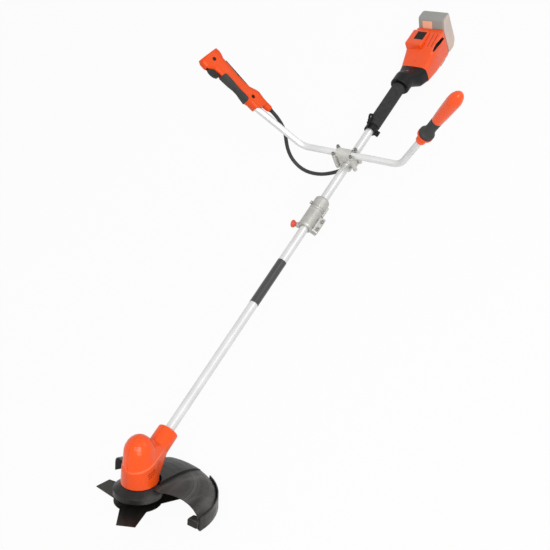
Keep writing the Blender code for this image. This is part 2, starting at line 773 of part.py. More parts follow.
def build_blade():
    """Drive flange, three-tooth blade, clamp washer and nut on the spindle."""
    bore = SPINDLE_R + GAP
    flange_low = BLADE_TOP + GAP
    flange = [
        (bore, flange_low + FLANGE_HUB_HEIGHT),
        (FLANGE_HUB_R, flange_low + FLANGE_HUB_HEIGHT),
        (FLANGE_HUB_R, flange_low + FLANGE_THICKNESS),
        (FLANGE_R * 0.7, flange_low + FLANGE_THICKNESS),
        (FLANGE_R, flange_low + 0.002),
        (FLANGE_R, flange_low),
        (BLADE_BORE_R - GAP, flange_low),
        (BLADE_BORE_R - GAP, BLADE_TOP - BLADE_THICKNESS + 0.0002),
        (bore, BLADE_TOP - BLADE_THICKNESS + 0.0002),
    ]
    lathe("drive_flange", flange, HEAD, "steel")
    outline = []
    for tooth in range(TOOTH_COUNT):
        middle = TOOTH_FIRST + 2 * math.pi * tooth / TOOTH_COUNT
        last = middle + 2 * math.pi / TOOTH_COUNT
        for radius, angle in (
            (BLADE_DISC_R, middle - TOOTH_ROOT_HALF_ANGLE),
            (BLADE_TIP_R, middle - TOOTH_TIP_HALF_ANGLE),
            (BLADE_TIP_R, middle + TOOTH_TIP_HALF_ANGLE),
        ):
            outline.append((radius * math.cos(angle), radius * math.sin(angle)))
        first_degree = math.degrees(middle + TOOTH_ROOT_HALF_ANGLE)
        last_degree = math.degrees(last - TOOTH_ROOT_HALF_ANGLE)
        outline += arc((0, 0), (BLADE_DISC_R, BLADE_DISC_R), first_degree, last_degree, 6)[:-1]
    hole = arc((0, 0), (BLADE_BORE_R, BLADE_BORE_R), 0, 360, ROUND_STEPS)[:-1]
    blade = plate("blade", [outline, hole], BLADE_THICKNESS, HEAD, "dark_steel")
    blade.location.z = BLADE_TOP - BLADE_THICKNESS / 2
    washer_top = BLADE_TOP - BLADE_THICKNESS - GAP
    washer = [
        (bore, washer_top),
        (WASHER_R, washer_top),
        (WASHER_R, washer_top - 0.0015),
        (WASHER_R * 0.6, washer_top - WASHER_THICKNESS),
        (bore, washer_top - WASHER_THICKNESS),
    ]
    lathe("clamp_washer", washer, HEAD, "steel")
    nut_top = washer_top - WASHER_THICKNESS - GAP
    sides = arc((0, 0), (NUT_R, NUT_R), 0, 360, 6)[:-1]
    nut = plate(
        "blade_nut", [sides, arc((0, 0), (bore, bore), 0, 360, ROUND_STEPS)[:-1]], NUT_HEIGHT, HEAD, "steel"
    )
    nut.location.z = nut_top - NUT_HEIGHT / 2


# Guard


def guard_plan(margin):
    """Plan of the space that the apron covers, behind the blade; a margin draws its ends in.

    The near edge is an arc that bows and leans to the rear; the far edge is straight.
    """
    far = 2 * APRON_R
    edge = APRON_NEAR_EDGE + margin
    span = APRON_R - NEAR_EDGE_FROM
    half = math.hypot(span, NEAR_EDGE_SWEEP) / 2
    radius = (half**2 + NEAR_EDGE_SAG**2) / (2 * NEAR_EDGE_SAG)
    bow = math.degrees(math.asin(half / radius))
    lean = math.atan2(NEAR_EDGE_SWEEP, span)
    back = radius - NEAR_EDGE_SAG
    centre = (
        edge + NEAR_EDGE_SWEEP / 2 - back * math.cos(lean),
        -NEAR_EDGE_FROM - span / 2 - back * math.sin(lean),
    )
    lean = math.degrees(lean)
    angle = APRON_FAR_ANGLE - margin / APRON_R
    return [
        (edge, 0),
        *arc(centre, (radius, radius), lean + bow, lean - bow, 8),
        (edge + NEAR_EDGE_SWEEP, -far),
        (far, -far),
        (far, far * math.tan(APRON_FAR_ANGLE) / 2),
        (far * math.cos(angle), far * math.sin(angle)),
    ]


def build_guard():
    """Guard: hub ring and collar, domed apron with a rolled rim, broad raised band to the rear."""
    roof = POD_BASE - GAP * 2 - BASE_THICKNESS
    below = roof - GUARD_WALL
    collar = POD_R + 0.0030
    hub = [
        (HUB_BORE_R, roof),
        (POD_R - GAP / 2, roof),
        (POD_R - GAP / 2, POD_BASE - GAP * 2),
        (collar, POD_BASE - GAP * 2),
        (HUB_RING_R, roof - 0.0015),
        (HUB_RING_R, roof - HUB_RING_DROP),
        (HUB_RING_R - GUARD_WALL, roof - HUB_RING_DROP),
        (HUB_RING_R - GUARD_WALL, below),
        (HUB_BORE_R, below),
    ]
    guard = lathe("guard", hub, HEAD, "guard_plastic", steps=36)
    flat = APRON_R - APRON_ROUND_R
    crest = roof + APRON_RISE
    rim = crest - APRON_ROUND_H - APRON_SKIRT
    centre = (flat, crest - APRON_ROUND_H)
    low_round = (APRON_ROUND_R - GUARD_WALL, APRON_ROUND_H - GUARD_WALL)
    foot = rim - EXTENSION_DROP
    inner = POD_R + 0.004
    section = [(inner, crest)]
    section += arc(centre, (APRON_ROUND_R, APRON_ROUND_H), 90, 0, 8)
    section += [(APRON_R, foot), (APRON_R - GUARD_WALL, foot)]
    section += arc(centre, low_round, 0, 90, 8)
    section += [
        (inner + GUARD_WALL, crest - GUARD_WALL),
        (inner + GUARD_WALL, below - 0.0015),
        (inner, below - 0.0015),
    ]
    apron = lathe("guard_apron", section, HEAD, place=(APRON_OFFSET, 0, 0), steps=GUARD_STEPS)
    plan = plate("guard_plan", [guard_plan(0)], 0.4, HEAD)
    boolean(apron, plan, "INTERSECT")
    turn = new_frame("extension_frame", HEAD, (APRON_OFFSET, 0, 0))
    turn.rotation_euler.z = EXTENSION_TURN
    far = 2 * APRON_R
    boolean(apron, box("near_rim_cut", (-far, -far, foot - CUT_MARGIN), (far, 0, rim), turn))
    boolean(guard, apron, "UNION")
    half_wall = GUARD_WALL / 2
    rise = (flat, crest - APRON_ROUND_H + RIB_RISE)
    sunk = (APRON_ROUND_R - half_wall, APRON_ROUND_H - half_wall)
    band = [(inner + 2 * GAP, crest + RIB_RISE)]
    band += arc(rise, (APRON_ROUND_R - RIB_INSET, APRON_ROUND_H), 90, RIB_END_ANGLE, 6)
    band += arc(centre, sunk, RIB_END_ANGLE, 90, 6)
    band += [(inner + 2 * GAP, crest - half_wall)]
    rib = lathe("guard_rib", band, HEAD, place=(APRON_OFFSET, 0, 0), steps=GUARD_STEPS)
    reach = (APRON_OFFSET + APRON_R, RIB_HALF_WIDTH, crest + 2 * RIB_RISE)
    keep = box("rib_band", (APRON_OFFSET, -RIB_HALF_WIDTH, foot), reach, HEAD)
    boolean(rib, keep, "INTERSECT")
    boolean(guard, rib, "UNION")
    for index in range(GUARD_SCREW_COUNT):
        angle = 2 * math.pi * (index + 0.5) / GUARD_SCREW_COUNT
        spot = (GUARD_SCREW_CIRCLE * math.cos(angle), GUARD_SCREW_CIRCLE * math.sin(angle), below - GAP)
        hole = rod(
            f"guard_hole_{index}",
            SCREW_R + GAP,
            -CUT_MARGIN,
            CUT_MARGIN * 2,
            HEAD,
            place=spot,
            steps=SMALL_STEPS,
        )
        boolean(guard, hole)
        screw = cap_screw(f"guard_screw_{index + 1}", GUARD_WALL + 0.007, HEAD, spot)
        screw.rotation_euler = (math.pi, 0, 0)
    build_extension(rim, turn)


def build_extension(rim, turn):
    """Clip-on skirt below the near half of the apron's rim, with the line cutter at its near end."""
    inner = APRON_R + GAP
    outer = inner + EXTENSION_WALL
    shelf = rim - GAP
    foot = rim - EXTENSION_DROP
    lip = inner - EXTENSION_LIP + EXTENSION_WALL
    section = [
        (inner, rim + EXTENSION_OVERLAP),
        (outer, rim + EXTENSION_OVERLAP),
        (outer + 0.0012, foot),
        (lip, foot),
        (lip, foot + EXTENSION_WALL),
        (inner + 0.0009, foot + EXTENSION_WALL),
        (inner + 0.0003, shelf - EXTENSION_WALL),
        (lip, shelf - EXTENSION_WALL),
        (lip, shelf),
        (inner, shelf),
    ]
    skirt = lathe(
        "guard_extension", section, HEAD, "guard_plastic", place=(APRON_OFFSET, 0, 0), steps=GUARD_STEPS
    )
    boolean(skirt, plate("extension_plan", [guard_plan(0.002)], 0.4, HEAD), "INTERSECT")
    far = 2 * APRON_R
    boolean(skirt, box("extension_end", (-far, -2 * GAP, -far), (far, far, far), turn))
    depth, width, height = HOLDER_SIZE
    near = APRON_NEAR_EDGE + NEAR_EDGE_SWEEP + 0.002
    side = -(APRON_R - EXTENSION_LIP / 2)
    middle = (near + depth / 2 + 0.0004, side + width / 2, foot + height / 2 + 0.0004)
    boolean(skirt, centred_box("cutter_holder", HOLDER_SIZE, middle, HEAD, rounding=0.003), "UNION")
    thick, long, tall = CUTTER_SIZE
    spot = (near + 0.0004 - GAP - thick / 2, side + width * 0.55, foot + height * 0.5)
    centred_box("line_cutter", (thick, long, tall), spot, HEAD, "dark_steel")


# Shaft and coupling


def build_shaft():
    """Lower and upper tubes and the plain black band on the lower one."""
    inner = TUBE_R - TUBE_WALL
    lower = ring("lower_tube", inner, TUBE_R, LOWER_TUBE_START, TUBE_JOINT - GAP / 2, TOOL, "tube", "X")
    pin_hole = rod("lower_tube_pin_hole", LOCK_PIN_R + GAP, 0.0, LOCK_BOSS_END, TOOL, None, "Y",
                   (LOCK_X, 0, 0), SMALL_STEPS)
    boolean(lower, pin_hole)
    ring("upper_tube", inner, TUBE_R, TUBE_JOINT + GAP / 2, UPPER_TUBE_END, TOOL, "tube", "X")
    band = TUBE_R + GAP
    ring("shaft_band", band, band + BAND_THICKNESS, BAND_START, BAND_END, TOOL, "black_plastic", "X")


def build_coupling():
    """Cast coupling with clamp ears, two ear bolts, a set screw and a pull knob on a locking pin."""
    length = COUPLING_END - COUPLING_START
    groove = COUPLING_R - 0.0020
    bore = TUBE_R + GAP
    profile = [
        (0, COUPLING_START), (COUPLING_R - 0.004, COUPLING_START), (COUPLING_R, COUPLING_START + 0.005)
    ]
    for share in (0.58, 0.66):
        start = COUPLING_START + length * share
        profile += [
            (COUPLING_R, start),
            (groove, start + 0.001),
            (groove, start + 0.004),
            (COUPLING_R, start + 0.005),
        ]
    profile += [(COUPLING_R, COUPLING_END - 0.005), (COUPLING_R - 0.0035, COUPLING_END), (0, COUPLING_END)]
    body = lathe("coupling_body", profile, TOOL, "casting", "X")
    ears = new_frame("ear_frame", TOOL, (COUPLING_START + 0.003, 0, 0))
    ears.rotation_euler.x = EAR_ANGLE
    low = (0, -EAR_HALF_WIDTH, -EAR_REACH)
    high = (EAR_LENGTH, EAR_HALF_WIDTH, -COUPLING_R * 0.75)
    boolean(body, box("coupling_ears", low, high, ears, rounding=0.003), "UNION")
    rib_low = (EAR_LENGTH + 0.006, -0.0055, -COUPLING_R - 0.005)
    rib_high = (length - 0.016, 0.0055, -COUPLING_R * 0.8)
    boolean(body, box("coupling_rib", rib_low, rib_high, ears, rounding=0.002), "UNION")
    boss_bore = LOCK_PIN_R + 4 * GAP
    boss = ring(
        "coupling_boss",
        boss_bore,
        LOCK_BOSS_R,
        TUBE_R + 0.004,
        LOCK_BOSS_END,
        TOOL,
        None,
        "Y",
        (LOCK_X, 0, 0),
    )
    boolean(body, boss, "UNION")
    slot_low = (-0.01, -EAR_SLOT / 2, -EAR_REACH - CUT_MARGIN)
    slot_high = (EAR_LENGTH + 0.003, EAR_SLOT / 2, -TUBE_R * 0.8)
    boolean(body, box("coupling_slot", slot_low, slot_high, ears))
    boolean(
        body,
        rod("coupling_bore", bore, COUPLING_START - CUT_MARGIN, COUPLING_END + CUT_MARGIN, TOOL, axis="X"),
    )
    pin_bore = rod("coupling_pin_bore", LOCK_PIN_R + GAP, 0.0, LOCK_BOSS_END + CUT_MARGIN, TOOL, None, "Y",
                   (LOCK_X, 0, 0), SMALL_STEPS)
    boolean(body, pin_bore)
    for index, share in enumerate((0.24, 0.76)):
        spot = (EAR_LENGTH * share, -EAR_HALF_WIDTH - GAP, -EAR_BOLT_DEPTH)
        through = EAR_HALF_WIDTH * 2 + CUT_MARGIN
        hole_r = EAR_BOLT_R + GAP
        hole = rod(f"ear_hole_{index}", hole_r, -CUT_MARGIN, through, ears, None, "Y", spot, SMALL_STEPS)
        boolean(body, hole)
        bolt = cap_screw(
            f"coupling_bolt_{index + 1}", EAR_HALF_WIDTH * 2 + 0.002, ears, spot, radius=EAR_BOLT_R
        )
        bolt.rotation_euler = (math.pi / 2, 0, 0)
    seat = new_frame("set_screw_frame", TOOL, (SET_SCREW_X, 0, 0))
    seat.rotation_euler.x = SET_SCREW_ANGLE
    boolean(
        body,
        rod(
            "set_screw_hole", SCREW_R + GAP, TUBE_R * 0.7, COUPLING_R + CUT_MARGIN, seat, steps=SMALL_STEPS
        ),
    )
    cap_screw("coupling_set_screw", COUPLING_R - TUBE_R - 0.001, seat, (0, 0, COUPLING_R + GAP))
    build_lock()


def build_lock():
    """Sprung locking pin with the orange pull knob; both slide out along Y."""
    start = LOCK_BOSS_END + GAP
    end = start + KNOB_LENGTH
    bore = LOCK_PIN_R + GAP
    knob = [(bore, start), (KNOB_R * 0.62, start)]
    knob += arc((KNOB_R, start + KNOB_LENGTH * 0.32), (KNOB_R * 0.42, KNOB_LENGTH * 0.42), 200, 110, 5)
    knob += [
        (KNOB_R, end - 0.003),
        (KNOB_R, end),
        (KNOB_R - 0.002, end),
        (KNOB_R * 0.55, end - 0.004),
        (bore, end - 0.004),
    ]
    lathe("lock_knob", knob, TOOL, "orange", "Y", (LOCK_X, 0, 0), 16)
    rod("lock_pin", LOCK_PIN_R, LOCK_PIN_TIP, end - 0.003, TOOL, "steel", "Y", (LOCK_X, 0, 0), SMALL_STEPS)


# Handlebar


def arm_point(side, distance):
    """Point on the right (+1) or left (-1) arm, measured from the bend's corner."""
    if side > 0:
        return Vector((BAR_X, BAR_RIGHT, BAR_HEIGHT)) + ARM_RIGHT * distance
    return Vector((BAR_X, -BAR_LEFT, BAR_HEIGHT)) + ARM_LEFT * distance


def build_handlebar():
    """Bent tube: a curve with round bends, bored by a thinner one."""
    ends = (arm_point(1, ARM_RIGHT_LENGTH), arm_point(-1, ARM_LEFT_LENGTH))
    corners = [ends[0], arm_point(1, 0), arm_point(-1, 0), ends[1]]
    path = rounded_path(corners, BAR_BEND_R, 8)
    bar = place_object("handlebar", curve_mesh(pipe_curve("handlebar", path, BAR_R, 3)), TOOL, "tube")
    corners[0] = ends[0] + ARM_RIGHT * CUT_MARGIN
    corners[3] = ends[1] + ARM_LEFT * CUT_MARGIN
    inner = pipe_curve("handlebar_bore", rounded_path(corners, BAR_BEND_R, 8), BAR_R - BAR_WALL, 1)
    boolean(bar, place_object("handlebar_bore", curve_mesh(inner), TOOL, None))


def build_bracket():
    """Three-piece casting that clamps the bar on the shaft, with four screws in its corner bosses."""
    reach = BRACKET_SCREW_X + BRACKET_BOSS_R
    split = BAR_HEIGHT
    layers = (
        ("bracket_lower", -BRACKET_WING, -GAP / 2),
        ("bracket_middle", GAP / 2, split - GAP / 2),
        ("bracket_upper", split + GAP / 2, split + BRACKET_WING),
    )
    rows = (-BRACKET_SCREW_Y, BRACKET_SCREW_Y)
    spots = [(x, y) for x in (-BRACKET_SCREW_X, BRACKET_SCREW_X) for y in rows]
    pieces = [bracket_layer(name, low, high, spots) for name, low, high in layers]
    lower, middle, upper = pieces
    saddle_r = TUBE_R + BRACKET_SADDLE
    saddle = rod("bracket_saddle", saddle_r, BAR_X - reach * 0.9, BAR_X + reach * 0.9, TOOL, axis="X")
    boolean(saddle, box("saddle_trim", (BAR_X - 0.1, -0.1, -0.002), (BAR_X + 0.1, 0.1, 0.1), TOOL))
    boolean(lower, saddle, "UNION")
    cap_half = BRACKET_SCREW_Y - SCREW_HEAD_R - 0.0015
    cap = rod(
        "bracket_cap", BAR_R + BRACKET_SADDLE, -cap_half, cap_half, TOOL, None, "Y", (BAR_X, 0, BAR_HEIGHT)
    )
    boolean(cap, box("cap_trim", (BAR_X - 0.1, -0.1, -0.1), (BAR_X + 0.1, 0.1, split + 0.002), TOOL))
    boolean(upper, cap, "UNION")
    shaft_bore = rod("bracket_shaft_bore", TUBE_R + GAP, BAR_X - 0.05, BAR_X + 0.05, TOOL, axis="X")
    bar_bore = rod("bracket_bar_bore", BAR_R + GAP, -0.06, 0.06, TOOL, None, "Y", (BAR_X, 0, BAR_HEIGHT))
    for piece in (lower, middle):
        boolean(piece, shaft_bore)
    for piece in (middle, upper):
        boolean(piece, bar_bore)
    top = split + BRACKET_WING + GAP
    for index, (x, y) in enumerate(spots):
        spot = (BAR_X + x, y, top)
        hole = rod(f"bracket_hole_{index}", SCREW_R + GAP, -0.1, 0.1, TOOL, place=spot, steps=SMALL_STEPS)
        for piece in pieces:
            boolean(piece, hole)
        cap_screw(f"bracket_screw_{index + 1}", top + BRACKET_WING * 0.7, TOOL, spot)


def bracket_layer(name, low, high, spots):
    """One layer of the bracket: a block with a boss at each screw."""
    half_x = BRACKET_LENGTH / 2
    half_y = BRACKET_WIDTH / 2
    layer = box(
        name, (BAR_X - half_x, -half_y, low), (BAR_X + half_x, half_y, high), TOOL, "casting", 0.002
    )
    for index, (x, y) in enumerate(spots):
        spot = (BAR_X + x, y, 0)
        ends = (low + 0.0003, high - 0.0003)
        boss = rod(f"{name}_boss_{index}", BRACKET_BOSS_R, *ends, TOOL, place=spot, steps=SMALL_STEPS)
        boolean(layer, boss, "UNION")
    return layer


# Trigger grip


def grip_sections(growth):
    """Sections of the trigger grip, grown on all sides."""
    return [
        (height, (shift, 0), (depth + growth, width + growth), GRIP_ROUNDNESS)
        for height, shift, depth, width in GRIP_SECTIONS
    ]


def build_trigger_grip():
    """Two orange shells on the right arm with pad, trigger, lock lever, switch, screws and gland."""
    moulding = loft("grip_moulding", grip_sections(0), GRIP)
    lobe = [(height, (shift, 0), (depth, width), 2.4) for height, shift, depth, width in LOBE_SECTIONS]
    foot = new_frame("grip_foot_frame", GRIP, (GRIP_HEEL[0], 0, GRIP_HEEL[1]))
    foot.rotation_euler.y = GRIP_HEEL_SLOPE
    boolean(moulding, box("grip_foot_trim", (-0.1, -0.05, -0.05), (0.1, 0.05, 0), foot))
    boolean(moulding, loft("grip_lobe", lobe, GRIP), "UNION")
    slope = new_frame("grip_top_frame", GRIP, (GRIP_TOP[0], 0, GRIP_TOP[1]))
    slope.rotation_euler.y = GRIP_TOP_SLOPE
    boolean(moulding, box("grip_top_trim", (-0.1, -0.05, 0), (0.1, 0.05, 0.05), slope))
    arm_bore = pipe_curve(
        "grip_bore", [arm_point(1, 0.1), arm_point(1, ARM_RIGHT_LENGTH + GAP)], BAR_R + GAP, 3
    )
    boolean(moulding, place_object("grip_bore", curve_mesh(arm_bore), TOOL, None))
    half = TRIGGER_WIDTH / 2 + GAP
    down, up = TRIGGER_POCKET
    boolean(moulding, box("trigger_pocket", (-0.06, -half, -down), (0.0090, half, up), TRIGGER_HINGE))
    half = LEVER_WIDTH / 2 + GAP
    pocket_low = (-LEVER_POCKET, -half, -LEVER_LENGTH - GAP)
    boolean(moulding, box("lever_pocket", pocket_low, (0.05, half, 2 * GAP), LEVER_HINGE))
    bay = Vector(SWITCH_SIZE) + Vector((1, 1, 1)) * 2 * GAP
    boolean(moulding, centred_box("switch_bay", bay, SWITCH_PLACE, GRIP))
    gland_high = GLAND_LOW + GLAND_LENGTH
    seat_r = GLAND_R + 2 * GAP
    seat = (GLAND_OFFSET, 0, 0)
    boolean(moulding, rod("gland_bore", seat_r, -0.05, gland_high + GAP, GRIP, place=seat, steps=SMALL_STEPS))
    for index, (x, z) in enumerate(GRIP_SCREWS):
        recess = rod(
            f"grip_recess_{index}",
            SCREW_HEAD_R + 0.0012,
            -0.05,
            -0.0125,
            GRIP,
            None,
            "Y",
            (x, 0, z),
            SMALL_STEPS,
        )
        boolean(moulding, recess)
        hole = rod(
            f"grip_hole_{index}", SCREW_R + GAP, -0.05, 0.006, GRIP, None, "Y", (x, 0, z), SMALL_STEPS
        )
        boolean(moulding, hole)
        screw = cap_screw(f"grip_screw_{index + 1}", 0.0160, GRIP, (x, -0.0125 - GAP, z), head=0.0030)
        screw.rotation_euler = (math.pi / 2, 0, 0)
    split_halves("trigger_grip_left", "trigger_grip_right", moulding, GRIP, "orange", 0.35)
    build_pad()
    build_trigger()
    lever_low = (LEVER_PROUD - LEVER_THICKNESS, -LEVER_WIDTH / 2, -LEVER_LENGTH)
    box("lock_lever", lever_low, (LEVER_PROUD, LEVER_WIDTH / 2, 0), LEVER_HINGE, "black_plastic", 0.0018)
    centred_box("trigger_switch", SWITCH_SIZE, SWITCH_PLACE, GRIP, "black_plastic")
    spot = (GLAND_OFFSET, 0, 0)
    bore = CONDUIT_R * 0.5
    ring("cable_gland", bore, GLAND_R, GLAND_LOW, gland_high, GRIP, "rubber", place=spot, steps=SMALL_STEPS)


def build_pad():
    """Rubber pad on the finger side, moulded to the grip's surface."""
    seat = new_frame("pad_frame", GRIP, (PAD_MIDDLE[0], 0, PAD_MIDDLE[1]))
    seat.rotation_euler.y = PAD_SLOPE
    pad = box(
        "grip_pad", (-0.05, -0.03, -PAD_HALF_LENGTH), (0, 0.03, PAD_HALF_LENGTH), seat, "rubber", 0.008
    )
    boolean(pad, loft("pad_outside", grip_sections(PAD_THICKNESS + GAP), GRIP), "INTERSECT")
    boolean(pad, loft("pad_inside", grip_sections(GAP), GRIP))


def build_trigger():
    """Rounded finger trigger, hung on its pivot."""
    outline = [(0.004, 0.005)]
    outline += arc(TRIGGER_BULGE, TRIGGER_RADII, 110, 250, 8)
    outline += [(-0.004, -0.0365), (0.001, -0.022), (0.004, -0.006)]
    trigger = plate("trigger", [outline], TRIGGER_WIDTH, TRIGGER_HINGE, "black_plastic")
    trigger.rotation_euler = (math.pi / 2, 0, 0)
    bevel(trigger, 0.0012)


def build_conduit():
    """Conduit in one piece: from the grip's gland, below the bracket, along the shaft to the hanger."""
    foot = Vector((GLAND_OFFSET, 0, GLAND_LOW - 2 * GAP))
    grip_end = Matrix(GRIP_AXES).transposed() @ foot + GRIP_FOOT
    last = Vector((HANGER_START - 2 * GAP, *CONDUIT_ON_SHAFT))
    route = [grip_end, grip_end - GRIP_AXES[2] * CONDUIT_STUB, *map(Vector, CONDUIT_ROUTE)]
    route += [last - Vector((2 * CONDUIT_STUB, 0, 0)), last]
    place_object(
        "control_conduit",
        pipe_curve("control_conduit", smooth_path(route, 2), CONDUIT_R, 2),
        TOOL,
        "rubber",
    )


# Plain grip


def build_plain_grip():
    """Orange core with collar, rim and bulb, and the black rubber sleeve with its hand flange."""
    arm = new_frame("plain_grip_frame", TOOL, arm_point(-1, 0), arm_axes(ARM_LEFT))
    bore = BAR_R + GAP
    rubber_start = PLAIN_RIM + 0.006
    bulb = PLAIN_RUBBER_END + GAP
    core = [
        (0, ARM_LEFT_LENGTH + GAP),
        (bore, ARM_LEFT_LENGTH + GAP),
        (bore, PLAIN_COLLAR),
        (PLAIN_COLLAR_R - 0.0015, PLAIN_COLLAR),
        (PLAIN_COLLAR_R, PLAIN_COLLAR + 0.003),
        (PLAIN_COLLAR_R, PLAIN_COLLAR + 0.012),
        (PLAIN_SLEEVE_R, PLAIN_COLLAR + 0.016),
        (PLAIN_SLEEVE_R, PLAIN_RIM - 0.002),
        (PLAIN_RIM_R, PLAIN_RIM),
        (PLAIN_RIM_R, rubber_start - GAP),
        (PLAIN_SLEEVE_R, rubber_start - GAP),
        (PLAIN_SLEEVE_R, bulb),
        (PLAIN_WAIST_R + 0.001, bulb),
        (PLAIN_WAIST_R + 0.0034, bulb + 0.036),
        (PLAIN_BULB_R - 0.0008, bulb + 0.072),
    ]
    crown = PLAIN_END - 0.040
    core += arc((0, crown), (PLAIN_BULB_R, PLAIN_END - crown), 0, 80, 6)
    core += [(0, PLAIN_END)]
    lathe("plain_grip_core", core, arm, "orange", steps=20)
    inner = PLAIN_SLEEVE_R + GAP
    rubber = [(inner, rubber_start), (PLAIN_FLANGE_R - 0.002, rubber_start)]
    rubber += arc((PLAIN_FLANGE_R - 0.005, rubber_start + 0.007), (0.005, 0.007), -60, 80, 5)
    rubber += [
        (PLAIN_WAIST_R + 0.002, rubber_start + 0.020),
        (PLAIN_WAIST_R, rubber_start + 0.034),
        (PLAIN_WAIST_R + 0.001, PLAIN_RUBBER_END),
        (inner, PLAIN_RUBBER_END),
    ]
    lathe("plain_grip_rubber", rubber, arm, "rubber", steps=20)


def arm_axes(direction):
    """Axes of a frame whose Z runs along an arm."""
    side = Vector((1, 0, 0))
    side = (side - direction * side.dot(direction)).normalized()
    return (side, direction.cross(side), direction)


# Harness hanger, sleeve and battery housing


def build_hanger():
    """Clamp with the harness eye and its screw, and the foam sleeve above it."""
    end = HANGER_START + HANGER_LENGTH
    bore = TUBE_R + GAP
    clamp = rod("hanger_clamp", HANGER_R, HANGER_START, end, TOOL, "black_plastic", "X")
    half = EYE_THICKNESS / 2
    eye = rod("hanger_eye", EYE_R, -half, half, TOOL, None, "Y", (EYE_X, 0, EYE_HEIGHT), 20)
    stem_low = (HANGER_START + 0.002, -half, HANGER_R * 0.85)
    boolean(
        clamp, box("hanger_stem", stem_low, (end - 0.0005, half, EYE_HEIGHT), TOOL, rounding=0.002), "UNION"
    )
    arm_low = (end - 0.006, -half + 0.0004, SLEEVE_R + 0.003)
    boolean(clamp, box("hanger_arm", arm_low, (EYE_X, half - 0.0004, EYE_HEIGHT + 0.003), TOOL), "UNION")
    boolean(clamp, eye, "UNION")
    boolean(
        clamp, rod("hanger_eye_bore", EYE_BORE_R, -0.02, 0.02, TOOL, None, "Y", (EYE_X, 0, EYE_HEIGHT), 20)
    )
    lug = new_frame("hanger_lug_frame", TOOL, (HANGER_START, 0, 0))
    lug.rotation_euler.x = EAR_ANGLE
    lug_low = (0.001, -0.0065, -HANGER_R - 0.0110)
    lug_high = (HANGER_LENGTH - 0.001, 0.0065, -HANGER_R * 0.85)
    boolean(clamp, box("hanger_lug", lug_low, lug_high, lug, rounding=0.002), "UNION")
    slot_low = (-0.01, -0.0011, -HANGER_R - 0.02)
    boolean(clamp, box("hanger_slot", slot_low, (HANGER_LENGTH + 0.01, 0.0011, -TUBE_R * 0.8), lug))
    boolean(clamp, rod("hanger_bore", bore, HANGER_START - 0.02, end + 0.02, TOOL, axis="X"))
    spot = (HANGER_LENGTH / 2, -0.0065 - GAP, -HANGER_R - 0.0060)
    boolean(
        clamp, rod("hanger_screw_hole", SCREW_R * 0.8 + GAP, -0.01, 0.02, lug, None, "Y", spot, SMALL_STEPS)
    )
    screw = cap_screw("hanger_screw", 0.0145, lug, spot, head=0.0040, radius=SCREW_R * 0.8)
    screw.rotation_euler = (math.pi / 2, 0, 0)
    ring("hand_sleeve", bore, SLEEVE_R, SLEEVE_START, ADAPTER_START - GAP, TOOL, "foam", "X")


def shell_sections(sections, start):
    """Place a list of housing sections along the shaft."""
    return [
        (start + along, (0, height), (width, tall), power)
        for along, height, width, tall, power in sections
    ]


